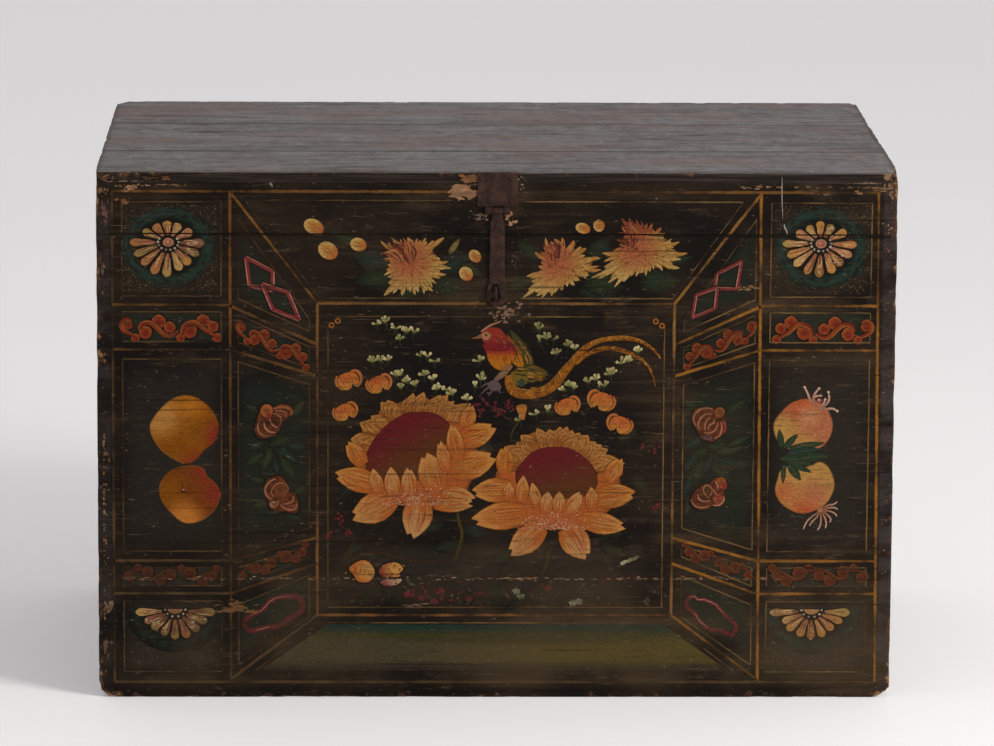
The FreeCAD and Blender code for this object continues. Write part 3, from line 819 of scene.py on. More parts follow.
lay_field(tints, ((-268, 31), (266, 31), (191, 85), (-191, 85)), floor_shade, 24, 14)
CELL_BROWN = (38, 31, 22)
WING_GREEN = (26, 33, 24)
for side in (-1, 1):
    outer, inner = (side * 424, side * 306) if side < 0 else (side * 306, side * 424)
    for low, high, colour in ((461, 572, CELL_BROWN), (28, 114, (46, 39, 31)), (409, 447, (30, 34, 26)),
                              (128, 153, (40, 38, 29)), (166, 395, (36, 31, 25))):
        corners = ((outer, low), (inner, low), (inner, high), (outer, high))
        lay_field(tints, corners, cell_shade(colour, 0.75))
    far, near = (side * 293, side * 209) if side < 0 else (side * 209, side * 293)
    rises = ((168, 193, 366, 392), (125, 160, 182, 154), (46, 104, 145, 112), (413, 383, 402, 440),
             (464, 426, 436, 548))
    for outer_low, inner_low, inner_high, outer_high in rises:
        heights = (outer_low, inner_low, inner_high, outer_high)
        if side > 0:
            heights = (inner_low, outer_low, outer_high, inner_high)
        lay_field(tints, tuple(zip((far, near, near, far), heights)), cell_shade(WING_GREEN, 0.7))
lay_field(tints, ((-185, 108), (185, 108), (185, 180), (-185, 180)), cell_shade((48, 40, 31), 0.45))
lay_field(tints, ((-188, 182), (188, 182), (188, 438), (-188, 438)), cell_shade((14, 10, 9), 0.55))
hang_film(tints, "tints")

# Ruled lines: gold-ochre, drawn along a straight edge, thick between the cells and thin inside them.
# They give the room-like layout, and they are dull and broken where the front has been rubbed.
GOLD = (128, 84, 34)
GOLD_RIGHT = (134, 86, 28)
GOLD_LEFT = (88, 58, 27)
GOLD_DULL = (74, 54, 32)
GOLD_TOP = (98, 64, 28)
THIN_GOLD = (112, 84, 48)
RULED = 3.3
RULED_THIN = 1.5
RULED_COATS = 3
THIN_COATS = 2.6
LINE_LOSS = 0.75
ruled = new_film(RULED_COATS)
hand = random.Random(11)


def rule_line(start, end, width, colour, coats):
    length = math.hypot(end[0] - start[0], end[1] - start[1])
    count = max(3, int(length / 5))
    across = (-(end[1] - start[1]) / length, (end[0] - start[0]) / length)
    line = []
    load = []
    worn = hand.random()
    for number in range(count + 1):
        t = number / count
        stray = hand.uniform(-0.22, 0.22)
        spot = part_way(start, end, t)
        line.append((spot[0] + across[0] * stray, spot[1] + across[1] * stray))
        worn = min(max(worn + hand.uniform(-0.35, 0.35), 0.0), 1.0)
        load.append(worn)

    def worn_shade(t, side):
        left = load[round(t * count)]
        return faint(mixed(colour, LACQUER_WARM, 0.3 * left), 1 - LINE_LOSS * left ** 2)
    lay_stroke(ruled, line, lambda t: width * (1.1 - 0.35 * load[round(t * count)]), worn_shade,
               coats=coats)


def rule_lines(points, width, colour, coats):
    for start, end in zip(points, points[1:]):
        rule_line(start, end, width, colour, coats)


OUTER_LEFT, OUTER_RIGHT = -432, 430
OUTER_LOW, OUTER_HIGH = 18, 582
DIVIDER_LEFT, DIVIDER_RIGHT = -300, 297
PANEL_LEFT, PANEL_RIGHT = -202, 200
PANEL_LOW, PANEL_HIGH = 96, 455
thick_lines = [
    ([(OUTER_LEFT, OUTER_HIGH), (-46, OUTER_HIGH)], GOLD_TOP),
    ([(27, OUTER_HIGH), (OUTER_RIGHT, OUTER_HIGH)], GOLD_TOP),
    ([(OUTER_LEFT, OUTER_LOW), (OUTER_LEFT, OUTER_HIGH)], GOLD_DULL),
    ([(OUTER_RIGHT + 3, OUTER_LOW), (OUTER_RIGHT - 2, OUTER_HIGH)], GOLD_RIGHT),
    ([(OUTER_LEFT, OUTER_LOW), (OUTER_RIGHT + 3, OUTER_LOW)], GOLD_DULL),
    ([(DIVIDER_LEFT, 20), (DIVIDER_LEFT, 390)], (78, 53, 24)),
    ([(DIVIDER_LEFT, 390), (DIVIDER_LEFT, OUTER_HIGH)], (102, 62, 24)),
    ([(DIVIDER_RIGHT + 2, 20), (DIVIDER_RIGHT - 1, OUTER_HIGH)], GOLD_RIGHT),
    ([(PANEL_LEFT, PANEL_LOW), (PANEL_LEFT, PANEL_HIGH)], (108, 70, 36)),
    ([(PANEL_RIGHT, PANEL_LOW), (PANEL_RIGHT, PANEL_HIGH)], (122, 84, 44)),
    ([(PANEL_LEFT, PANEL_HIGH), (-12, PANEL_HIGH)], (104, 72, 34)),
    ([(24, PANEL_HIGH), (PANEL_RIGHT, PANEL_HIGH)], (110, 74, 34)),
    ([(PANEL_LEFT, PANEL_LOW), (PANEL_RIGHT, PANEL_LOW)], (112, 70, 34)),
    ([(-298, 579), (PANEL_LEFT, PANEL_HIGH)], GOLD),
    ([(295, 579), (PANEL_RIGHT, PANEL_HIGH)], (122, 82, 34)),
    ([(-299, 22), (PANEL_LEFT, PANEL_LOW)], GOLD_DULL), ([(299, 21), (PANEL_RIGHT, PANEL_LOW)], GOLD_RIGHT),
]
for height, left_gold in ((453, GOLD_LEFT), (402, GOLD_LEFT), (159, GOLD_DULL), (121, GOLD_DULL)):
    thick_lines.append(([(OUTER_LEFT, height), (DIVIDER_LEFT, height)], left_gold))
    thick_lines.append(([(DIVIDER_RIGHT, height), (OUTER_RIGHT, height)], GOLD_RIGHT))
for outer_height, inner_height in ((452, 408), (402, 372), (159, 186), (121, 156)):
    thick_lines.append(([(DIVIDER_LEFT, outer_height), (PANEL_LEFT, inner_height)], GOLD_LEFT))
    thick_lines.append(([(DIVIDER_RIGHT, outer_height), (PANEL_RIGHT, inner_height)], GOLD_RIGHT))
for line, colour in thick_lines:
    rule_lines(line, RULED, colour, RULED_COATS)

thin_shapes = [
    [(-283, 572), (-50, 572)], [(30, 571), (276, 571)], [(-283, 571), (-200, 461)],
    [(276, 571), (198, 461)], [(-200, 461), (-14, 461)], [(26, 461), (198, 461)], [(-190, 87), (191, 87)],
    [(-238, 57), (-272, 31)], [(238, 57), (272, 31)], [(-182, 440), (-8, 440)], [(28, 440), (180, 440)],
    [(-190, 105), (-190, 430)], [(189, 105), (189, 430)], [(-190, 105), (189, 105)],
]
for side in (-1, 1):
    inset = 310 if side < 0 else 308
    for low, high in ((463, 570), (411, 445), (170, 391), (130, 151), (30, 112)):
        corners = ((inset, low), (421, low), (421, high), (inset, high), (inset, low))
        thin_shapes.append([(side * x, z) for x, z in corners])
    for outer_high, inner_high, inner_low, outer_low in (
            (388, 362, 197, 172), (551, 437, 423, 460), (442, 405, 381, 410), (151, 177, 164, 130),
            (108, 142, 94, 38)):
        corners = ((291, outer_high), (211, inner_high), (211, inner_low), (291, outer_low),
                   (291, outer_high))
        thin_shapes.append([(side * x, z) for x, z in corners])
for shape in thin_shapes:
    left = sum(x for x, z in shape) < 0
    dulled = mixed(THIN_GOLD, LACQUER_WARM, 0.45 if left else 0.1)
    rule_lines(shape, RULED_THIN, dulled, THIN_COATS)
for side in (-1, 1):
    for x, z in ((179, 435), (186, 430)):
        ring = [(side * x + 2.6 * math.cos(math.pi * k / 5), z + 2.6 * math.sin(math.pi * k / 5))
                for k in range(10)]
        lay_stroke(ruled, ring + ring[:1], 1.9, (140, 82, 30))
hang_film(ruled, "ruled_lines")

# Rosettes: open flowers of drop-shaped petals on a green disc, whole above and half in the lower cells.
# The ground round them is dotted with ochre from the tip of the brush.
PETAL_DROP = ((0.0, 0.3), (0.3, 0.52), (0.6, 0.84), (0.8, 1.0), (0.92, 0.84), (1.0, 0.4))
PETAL_POINTED = ((0.0, 0.62), (0.2, 0.88), (0.42, 1.0), (0.62, 0.9), (0.8, 0.62), (0.92, 0.34), (1.0, 0.12))
PETAL_TOOTHED = ((0.0, 0.62), (0.2, 0.88), (0.42, 1.0), (0.62, 0.93), (0.8, 0.7), (0.95, 0.46), (0.9, 0.22))
VEIN_LEVELS = 4
DISC_GREEN = (30, 47, 38)
DISC_DARK = (11, 15, 11)
PETAL_CREAM = (160, 124, 72)
PETAL_ROSE = (124, 74, 54)
PETAL_TINTS = (PETAL_CREAM, (150, 104, 50), (138, 110, 58), (150, 102, 68), (148, 98, 52))
PETAL_LINE = (44, 19, 14)
PETAL_LIGHT = (186, 152, 108)
# where the petals of a rosette end, from its middle: a whole one, and the lower half of one
WHOLE_TIPS = ((40, -1), (33.5, -13.5), (25, -25.5), (14, -33), (-2, -39), (-17, -34.5), (-29.5, -24.5),
              (-38, -14), (-43.5, 0), (-29, 13.5), (-16, 21), (-1.5, 25), (12.5, 21.5), (27.5, 14))
HALF_TIPS = ((-46, -2), (-34.5, -13), (-27, -21.5), (-14.5, -29.5), (-0.5, -33), (14, -30.5), (25.5, -22.5),
             (36, -13), (45, -2))
DOT_CREAM = (158, 142, 122)


def lay_petal(film, base, tip, width, shade, profile=PETAL_POINTED, tooth=0, veins=None, rim=RIM_COVER,
              coats=None):
    # shade is asked with the share of the way from base to tip, and the ring (1 at the rim);
    # tooth is the side, 1 or -1, on which the tip has a second, smaller point
    run = (tip[0] - base[0], tip[1] - base[1])
    length = math.hypot(*run)
    across = (-run[1] / length, run[0] / length)

    def at(along, aside):
        return (base[0] + run[0] * along + across[0] * aside * width / 2,
                base[1] + run[1] * along + across[1] * aside * width / 2)

    def from_base(x, z, ring):
        along = ((x - base[0]) * run[0] + (z - base[1]) * run[1]) / length ** 2
        return chosen(shade, along, ring)
    sides = {}
    for side in (-1, 1):
        outline = PETAL_TOOTHED if side == tooth else profile
        sides[side] = [at(along, side * aside) for along, aside in outline]
    around = sides[-1] + [at(1.03, 0.0)] + sides[1][::-1]
    lay_patch(film, around, from_base, at(0.5, 0.0), rim=rim, coats=coats)
    if veins:
        colours, count, draw = veins
        top = film["marks"]
        for number in range(count):
            film["marks"] = top + number % VEIN_LEVELS
            aside = 1.44 * (number + draw.random()) / count - 0.72
            first = draw.uniform(0.04, 0.5)
            last = draw.uniform(0.55, 0.93)
            marks = [at(first, aside * 0.8), at((first + last) / 2, aside * 0.92), at(last, aside * 0.5)]
            lay_stroke(film, marks, brush(draw.uniform(0.7, 1.4), 0.4), draw.choice(colours), 0.9,
                       coats=coats)
        film["marks"] = top + VEIN_LEVELS


def round_outline(x, z, wide, high, count=20, turn=0.0):
    line = []
    for number in range(count):
        angle = 2 * math.pi * number / count
        across, up = wide * math.cos(angle), high * math.sin(angle)
        line.append((x + across * math.cos(turn) - up * math.sin(turn),
                     z + across * math.sin(turn) + up * math.cos(turn)))
    return line


def disc_shade(ring, cover):
    # a pale green band round a dark middle, soft outside
    colour = mixed(DISC_DARK, DISC_GREEN, (ring - 0.68) / 0.12)
    return faint(colour, cover * min(1.0, (1 - ring) / 0.12))


def rosette(x, z, tips, ground_z, wide, high, cover, fade, worn, seed):
    # ground_z, wide, high and cover: middle, half size and strength of the green ground;
    # worn: share of the petals that are rubbed
    film = new_film(coats=2.2, levels=STACKED)
    draw = random.Random(seed)
    half = len(tips) < len(WHOLE_TIPS)
    turns = [math.radians(turn) for turn in (range(180, 361, 10) if half else range(0, 360, 10))]
    ground = [(x + wide * math.cos(turn), ground_z + high * math.sin(turn)) for turn in turns]
    lay_patch(film, ground, lambda px, pz, ring: disc_shade(ring, cover), (x, ground_z),
              (1.0, 0.95, 0.88, 0.8, 0.68, 0.4), coats=1.6)
    for number in range(45 if half else 90):
        # the green is dabbed on, with gaps
        turn, reach = draw.uniform(turns[0] + 0.1, turns[-1] - 0.1), draw.uniform(0.7, 1.03)
        dab = [(x + wide * reach * math.cos(turn + bend), ground_z + high * reach * math.sin(turn + bend))
               for bend in (-0.1, 0.0, 0.1)]
        width = brush(draw.uniform(2, 5), 0.3, 0.2)
        green = mixed(DISC_DARK, DISC_GREEN, draw.uniform(0.2, 1.2))
        lay_stroke(film, dab, width, faint(green, cover * draw.uniform(0.4, 0.9)), 0.4, coats=1.6)
    for across, up in tips:
        reach = draw.uniform(0.95, 1.03)
        rim = (x + across * reach, z + up * reach)
        root = (x + across * 0.33, z + up * 0.33)
        outer = mixed(draw.choice(PETAL_TINTS), LACQUER_WARM, fade * draw.random() * 1.3)
        inner = mixed(mixed(PETAL_ROSE, outer, draw.random() * 0.6), LACQUER_WARM, fade * draw.random())
        broad = draw.uniform(8.6, 10.4)
        left = 0.6 if draw.random() < worn else 1.0
        marks = (inner, mixed(outer, PETAL_LIGHT, 0.6), outer, mixed(inner, PETAL_LINE, 0.3))

        def petal_shade(along, ring, outer=outer, inner=inner, left=left):
            return faint(mixed(inner, outer, (along - 0.25) / 0.5), left)
        lay_petal(film, root, rim, broad + 2.4, (*PETAL_LINE, 0.9), PETAL_DROP)
        lay_petal(film, root, rim, broad, petal_shade, PETAL_DROP, veins=(marks, 9, draw), rim=0.75)
        if left < 1:
            for number in range(5):
                spot = (x + across * draw.uniform(0.5, 1.0), z + up * draw.uniform(0.5, 1.0))
                lay_patch(film, round_outline(*spot, draw.uniform(0.8, 2.2), draw.uniform(0.5, 1.3), 7),
                          mixed(DOT_CREAM, outer, draw.random()), rim=0.9)
    if half:
        turns = [math.radians(turn) for turn in range(195, 346, 25)]
        bowl = [(x + 9 * math.cos(turn), z + 2 + 6 * math.sin(turn)) for turn in turns]
        bowl = [(x - 9, z + 2)] + bowl + [(x + 9, z + 2)]
        lay_patch(film, bowl, mixed(mixed(PETAL_ROSE, PETAL_CREAM, 0.6), LACQUER_WARM, fade))
    else:
        lay_patch(film, round_outline(x, z, 6.4, 5.2),
                  lambda px, pz, ring: mixed((92, 46, 36), (150, 100, 74), ring * 1.3))
        lay_patch(film, round_outline(x - 0.6, z + 0.6, 2.2, 1.8, 10), (158, 108, 82))
    for number in range(6 if half else 10):
        turn = math.radians((184 + 34.5 * number) if half else 150 + 26.5 * number)
        spot = (x + 11.5 * math.cos(turn), z + (1.5 if half else 0) + 8.5 * math.sin(turn))
        lay_patch(film, round_outline(*spot, draw.uniform(1.2, 1.8), draw.uniform(1.1, 1.6), 8),
                  mixed(DOT_CREAM, LACQUER_WARM, max(fade, 0.2) * draw.random() * 1.4))
    return film


def dotted_ground(film, left, right, low, high, x, z, wide, tall, count, seed):
    draw = random.Random(seed)
    for number in range(count):
        spot = (draw.uniform(left, right), draw.uniform(low, high))
        film["marks"] = number % MARK_LEVELS
        if ((spot[0] - x) / wide) ** 2 + ((spot[1] - z) / tall) ** 2 < 1.0:
            continue
        lay_patch(film, round_outline(*spot, draw.uniform(0.4, 0.9), draw.uniform(0.4, 0.8), 6),
                  mixed((104, 78, 48), (62, 48, 34), draw.random()), rings=(1.0,), rim=0.9)


for side, x, half_x, name, fade in ((-1, -369, -363, "left", 0.3), (1, 364, 360, "right", 0.05)):
    flower = rosette(x, 524, WHOLE_TIPS, 519, 53, 47, 0.82, fade * 0.4, 0.2, 31 + side)
    dotted_ground(flower, x - 52, x + 54, 467, 567, x, 519, 51, 44, 700, 41 + side)
    hang_film(flower, f"rosette_{name}")
    flower = rosette(half_x, 101, HALF_TIPS, 104, 57, 52, 0.5 + 0.15 * side, fade, 0.3 - 0.2 * side,
                     51 + side)
    dotted_ground(flower, half_x - 50, half_x + 50, 34, 90, half_x, 106, 58, 58, 130 + 60 * side, 61 + side)
    hang_film(flower, f"half_rosette_{name}")

# Cloud scrolls: a running orange vine with curled lobes, in the narrow bands between the cells.
# Each is one thick line of the brush with red hearts in its curls and a dark line round it.
SCROLL_ORANGE = (112, 48, 18)
SCROLL_EDGE = (134, 74, 34)
SCROLL_RED = (90, 22, 14)
SCROLL_DARK = (14, 9, 6)
SCROLL_LONG, SCROLL_TALL = 106, 26
SCROLL_VINES = (
    ((7, 5), (1.4, 6.9), (-3.8, 2.1), (-2.4, -4.6), (3.2, -8.4), (10, -11)),
    ((16.4, -4.6), (18.2, 1.1), (23.9, 3.5), (30.4, 2.1), (37, -3.7), (42.6, -9.4), (48.2, -11.8),
     (54, -10.4), (59.5, -6.5)),
    ((63.2, -10.4), (66, -0.8), (71.7, 3), (78.2, 4), (83, 1.1), (89.5, -4.6), (96, -8.9), (102.6, -12.3)))
SCROLL_LOBES = ((11.5, -14, 4.6), (3.7, 0.6, 4.4), (22.9, -7.6, 6.8), (37.9, 5, 7), (50.1, -1.8, 6),
                (62.3, -13.6, 4.4), (72.6, -5.6, 7.6), (87.6, 5.9, 6.8), (98.9, -0.8, 5.8),
                (103.5, -13.4, 4.8))


def cloud_scroll(name, start, end, tall, flip, fade):
    film = new_film(coats=2.2, levels=STACKED)
    run = (end[0] - start[0], end[1] - start[1])
    grow = tall / SCROLL_TALL

    def at(along, up):
        return (start[0] + run[0] * along / SCROLL_LONG,
                start[1] + run[1] * along / SCROLL_LONG + up * grow * flip)
    colours = (SCROLL_ORANGE, SCROLL_EDGE, SCROLL_RED)
    orange, edge, red = (mixed(colour, LACQUER_WARM, fade) for colour in colours)
    swell = grow * (1.1 if flip > 0 else 1.45)

    def vine_shade(t, side):
        return edge if side * flip > 0 else mixed(orange, red, 0.3 + 0.4 * math.sin(t * 9))

    def lobe(along, up, size):
        middle = at(along, up)
        return [(middle[0] + size * (1 + 0.06 * math.sin(3 * k + along)) * math.cos(math.pi * k / 8),
                 middle[1] + size * (1 + 0.06 * math.sin(2 * k + along)) * math.sin(math.pi * k / 8))
                for k in range(16)]
    for along, up, size in SCROLL_LOBES:
        lay_patch(film, lobe(along, up, size * swell * 1.25), (*SCROLL_DARK, 0.9))
    for along, up, size in SCROLL_LOBES:
        spot = at(along, up)

        def lobe_shade(x, z, ring, spot=spot, size=size):
            lit = (z - spot[1] - 0.4 * (x - spot[0])) / (size * grow)
            return mixed(mixed(red, orange, 0.3 + ring * 0.7), edge, (ring - 0.55) * (0.8 + lit))
        wide = size * swell
        lay_patch(film, lobe(along, up, wide), lobe_shade, rings=(1.0, 0.9, 0.7, 0.4), rim=0.8)
        heart = round_outline(spot[0] + 0.9, spot[1] - 1.0, wide * 0.5, wide * 0.3, 9, along)
        lay_patch(film, heart, mixed(red, orange, 0.2), rim=0.8)
    for knots in SCROLL_VINES:
        vine = flow([at(*knot) for knot in knots], len(knots) * 5)
        lay_stroke(film, vine, brush(7.4 * grow, 0.6, 0.5), (*SCROLL_DARK, 0.6), 0.3)
        lay_stroke(film, vine, brush(5.6 * grow, 0.7, 0.5), vine_shade, 0.8)
    hang_film(film, f"scroll_{name}")


for scroll in (
        ("upper_left", (-418, 429), (-312, 429), 26, 1, 0.0),
        ("upper_right", (419, 428), (313, 428), 26, 1, 0.0),
        ("wing_upper_left", (-289, 427), (-213, 392), 22, 1, 0.1),
        ("wing_upper_right", (288, 428), (213, 393), 22, 1, 0.18),
        ("lower_left", (-416, 141), (-314, 140), 18, -1, 0.62),
        ("lower_right", (418, 141), (312, 141), 19, -1, 0.45),
        ("wing_lower_left", (-288, 141), (-214, 170), 16, -1, 0.5),
        ("wing_lower_right", (288, 142), (214, 171), 16, -1, 0.4)):
    cloud_scroll(*scroll)

# Linked lozenges and rings: red figures in the slanting cells, two lozenges above and a leaf ring below.
# Drawn in rose red with a paler edge on the lit side.
RING_RED = (108, 40, 38)
RING_PALE = (178, 118, 98)
RING_DULL = (100, 34, 36)


def red_figure(name, shapes, width, colour, fade):
    film = new_film(coats=3, levels=STACKED)
    red = mixed(colour, LACQUER_WARM, fade)
    pale = mixed(RING_PALE, LACQUER_WARM, fade)
    for points, closed in shapes:
        if closed:
            rough = random.Random(len(points))
            line = [(x + rough.uniform(-0.6, 0.6), z + rough.uniform(-0.6, 0.6))
                    for x, z in flow(points, 90, True)]
            load = [rough.uniform(0.5, 1.0) for number in range(91)]
            lay_stroke(film, line + line[:1], lambda t: width * (0.7 + 0.4 * load[round(t * 90)]),
                       lambda t, side: faint(red, load[round(t * 90)]), 0.5)
            for first, last in ((6, 34), (70, 82)):
                lay_stroke(film, line[first:last], brush(1.5, 0.3, 0.2), mixed(red, pale, 0.7), 0.8)
            continue
        sides = list(zip(points, points[1:] + points[:1]))
        for wide, shade in ((width + 2.4, (*SCROLL_DARK, 0.7)), (width, red)):
            for first, second in sides:
                lay_stroke(film, flow([first, second], 5), wide, shade)
        for number, (first, second) in enumerate(sides):
            run = math.hypot(second[0] - first[0], second[1] - first[1])
            aside = (-(second[1] - first[1]) / run * width * 0.3,
                     (second[0] - first[0]) / run * width * 0.3)
            edge = [(x + aside[0], z + aside[1]) for x, z in (first, second)]
            lay_stroke(film, flow(edge, 5), brush(1.3, 0.5, 0.1, 0.3),
                       faint(pale, 0.9 if number % 2 else 0.5))
    hang_film(film, f"red_figure_{name}")


red_figure("upper_left",
           [([(-282, 507), (-252, 491), (-252, 469), (-278, 475)], False),
            ([(-264, 477), (-235, 467), (-222, 436), (-252, 448)], False)],
           4.8, RING_RED, 0.0)
red_figure("upper_right",
           [([(275, 504), (247, 489), (245, 473), (270, 472)], False),
            ([(248, 474), (224, 465), (220, 439), (246, 450)], False)],
           4.2, RING_RED, 0.1)
ring_left = [(-285, 88), (-278, 95), (-266, 101), (-258, 109), (-251, 115), (-237, 118), (-225, 117),
             (-219, 109), (-221, 100), (-230, 94), (-241, 86), (-250, 82), (-258, 82), (-268, 79),
             (-279, 78)]
ring_right = [
    (217, 108), (220, 116), (226, 118), (231, 114), (239, 114), (248, 110), (256, 103), (262, 96),
    (269, 90), (274, 84), (273, 77), (269, 73), (263, 75), (256, 79), (249, 79), (240, 83), (232, 90),
    (227, 98), (221, 103)]
red_figure("lower_left", [(ring_left, True)], 6.6, RING_DULL, 0.2)
red_figure("lower_right", [(ring_right, True)], 5.0, RING_DULL, 0.1)

# Fruit: two peaches in the left cell and two pomegranates in the right one, modelled with soft shading.
# The pomegranates have pale curling crowns, and dark leaves lie between them.
PEACH_OCHRE = (112, 61, 5)
PEACH_LIGHT = (154, 104, 46)
PEACH_BROWN = (97, 47, 8)
PEACH_RED = (112, 34, 24)
PEACH_GLOW = (154, 92, 24)
PEACH_FOOT = (160, 96, 36)
FRUIT_RINGS = (1.0, 0.95, 0.8, 0.6, 0.35)


def toward(x, z, spot, reach):
    # how near a point is to a spot of colour, from 1 on it to 0 at its reach
    return max(0.0, 1.0 - math.hypot(x - spot[0], z - spot[1]) / reach)


def lay_fruit(film, centre, outline, ground, spots, rim, share, rim_until=math.inf):
    # spots: each tinge with its strength, place and reach; rim: the colour of the border, left of rim_until
    def fruit_shade(x, z, ring):
        colour = ground
        for tint, strength, spot, reach in spots:
            colour = mixed(colour, tint, strength * toward(x, z, spot, reach))
        return mixed(colour, rim, share if ring == 1.0 and x < rim_until else 0.0)
    around = [(centre[0] + x, centre[1] + z) for x, z in flow(outline, 44, True)]
    lay_patch(film, around, fruit_shade, centre, FRUIT_RINGS)


fruit = new_film(coats=3)
lay_fruit(fruit, (-352, 311),
          [(-39, 3), (-36, 11), (-27, 23), (-16, 33), (-5, 38), (4, 39), (17, 35), (28, 26), (35, 16),
           (39, 6), (38, -6), (33, -17), (23, -24), (17, -32), (8, -39), (-2, -40), (-12, -35), (-23, -28),
           (-31, -19), (-37, -8)],
          PEACH_OCHRE,
          ((PEACH_LIGHT, 1.5, (-380, 326), 34), (PEACH_GLOW, 1.0, (-345, 338), 26),
           (PEACH_RED, 1.5, (-310, 302), 24), (PEACH_RED, 0.9, (-340, 270), 22)),
          (170, 112, 56), 0.5, -350)
lay_fruit(fruit, (-346, 236),
          [(-35, 7), (-31, 17), (-23, 26), (-13, 31), (-2, 33), (7, 33), (16, 29), (20, 20), (27, 15),
           (32, 8), (35, -1), (32, -11), (27, -20), (18, -28), (7, -33), (-4, -34), (-13, -30), (-19, -24),
           (-27, -16), (-33, -5)],
          PEACH_BROWN,
          ((PEACH_OCHRE, 1.3, (-372, 236), 30), (PEACH_FOOT, 1.6, (-352, 206), 28),
           (PEACH_RED, 1.3, (-326, 264), 20), (PEACH_RED, 1.3, (-314, 238), 22)),
          (166, 108, 52), 0.5)
lay_stroke(fruit, [(-354, 250), (-354.5, 245), (-354, 241)], 1.2, (78, 38, 22), coats=3.4)
lay_patch(fruit, round_outline(-353, 239, 3.2, 1.8, 10), (62, 30, 22), coats=3.6)
lay_patch(fruit, round_outline(-353, 241, 1.3, 0.9, 8), (176, 128, 100), coats=4)
hang_film(fruit, "peaches")

POME_YELLOW = (150, 108, 54)
POME_ROSE = (144, 84, 54)
POME_ORANGE = (150, 72, 38)
POME_CREAM = (162, 108, 72)
CROWN_PINK = (176, 140, 118)
LEAF_DARK = (34, 45, 27)
LEAF_BLUE = (28, 42, 34)
LEAF_OLIVE = (46, 48, 30)
LEAF_VEIN = (92, 100, 72)
THICK = 0.8
VEIN_COATS = 0.3


def lay_leaf(film, base, tip, width, colour, coats, cover):
    # a dark leaf with a paler vein; a thin one has a soft border
    def leaf_shade(along, ring):
        return faint(colour, cover if cover > THICK and ring < 1 else cover * min(1.0, 1.6 * (1.05 - ring)))
    lay_petal(film, base, tip, width, leaf_shade, coats=coats)
    middle = ((base[0] + tip[0]) / 2, (base[1] + tip[1]) / 2)
    lay_stroke(film, [base, middle, tip], brush(0.9, 0.8, 0.1),
               faint(mixed(colour, LEAF_VEIN, 0.35), cover), coats=coats + VEIN_COATS)


def lay_leaves(film, leaves, coats, cover):
    # leaves: base, tip, width and colour of each
    for base_x, base_z, tip_x, tip_z, width, colour in leaves:
        lay_leaf(film, (base_x, base_z), (tip_x, tip_z), width, colour, coats, cover)


pomes = new_film(coats=3)
upper_pome = (347, 314)
lower_pome = (350, 244)
lay_fruit(pomes, upper_pome,
          [(-34, 2), (-29, 13), (-21, 22), (-12, 29), (1, 33), (13, 31), (24, 25), (31, 14), (34, 2),
           (31, -11), (24, -21), (13, -28), (3, -33), (-12, -27), (-24, -21), (-31, -12)],
          POME_ROSE,
          ((POME_YELLOW, 1.8, (320, 308), 30), (POME_YELLOW, 1.5, (348, 289), 24),
           (POME_ORANGE, 1.6, (340, 343), 22), (POME_CREAM, 1.3, (352, 326), 15)),
          (120, 66, 40), 0.4)
lay_fruit(pomes, lower_pome,
          [(-34, -1), (-31, 11), (-28, 20), (-14, 27), (0, 24), (10, 28), (18, 30), (25, 26), (31, 16),
           (34, 3), (30, -10), (23, -20), (11, -27), (-2, -30), (-14, -27), (-26, -19), (-32, -10)],
          POME_YELLOW,
          ((POME_ORANGE, 1.5, (352, 216), 26), (POME_ROSE, 1.2, (362, 236), 22),
           (POME_ORANGE, 0.9, (326, 238), 20)),
          (130, 78, 44), 0.4)
speckle = random.Random(5)
for number in range(140):
    angle, reach = speckle.uniform(0, 2 * math.pi), 28 * math.sqrt(speckle.random())
    hub = upper_pome if number % 2 else lower_pome
    seed = round_outline(hub[0] + reach * math.cos(angle), hub[1] + reach * math.sin(angle), 0.8, 0.6, 5)
    lay_patch(pomes, seed, mixed((132, 60, 36), (190, 150, 106), speckle.random()), rings=(1.0,), rim=0.7,
              coats=3.5)
lay_patch(pomes, round_outline(367, 337, 4.4, 3.4, 12), (148, 98, 74), coats=3.3)
for curl in (
        [(360, 340), (355, 344.5), (351.5, 353), (348, 360)],
        [(359, 343), (358, 348), (360, 353), (364.5, 358.5)],
        [(369, 337), (374.5, 342.5), (376, 348), (375, 354.5)],
        [(369, 335), (374, 335), (380, 335.5), (385.5, 332.5)],
        [(359, 344), (359, 348), (362, 350), (366.5, 350.5)],
        [(366, 336), (369, 340), (370.5, 343), (371.5, 346)]):
    lay_stroke(pomes, flow(curl, 12), brush(2.7, 0.9, 0.6),
               lambda t, side: mixed((140, 88, 68), CROWN_PINK, t * 1.3), coats=3.6)
    lay_patch(pomes, round_outline(*curl[-1], 1.6, 1.5, 8), CROWN_PINK, coats=3.9)
lay_patch(pomes, round_outline(365, 344.5, 3.2, 3.0, 12), (124, 66, 62), coats=4.2)
lay_patch(pomes, round_outline(364.4, 345.4, 1.2, 1.1, 8), (190, 150, 140), coats=4.5)
lay_patch(pomes, round_outline(370, 218, 5.4, 4.2, 12), (140, 90, 64), coats=3.3)
for curl in (
        [(370, 220), (377, 224), (383, 225), (387, 228)], [(371, 219), (378, 221), (384, 221), (388, 219)],
        [(371, 218), (379, 217), (385, 214), (387, 211)], [(370, 217), (376, 213), (380, 208), (379, 204)],
        [(369, 216), (373, 210), (375, 203), (374, 197)], [(368, 216), (369, 208), (368, 200), (365, 195)],
        [(367, 216), (364, 210), (359, 205), (356, 200)], [(366, 216), (359, 211), (353, 205), (349, 196)]):
    lay_stroke(pomes, flow(curl, 12), brush(2.1, 0.9, 0.5),
               lambda t, side: mixed((118, 72, 48), CROWN_PINK, t * 1.2), coats=3.6)
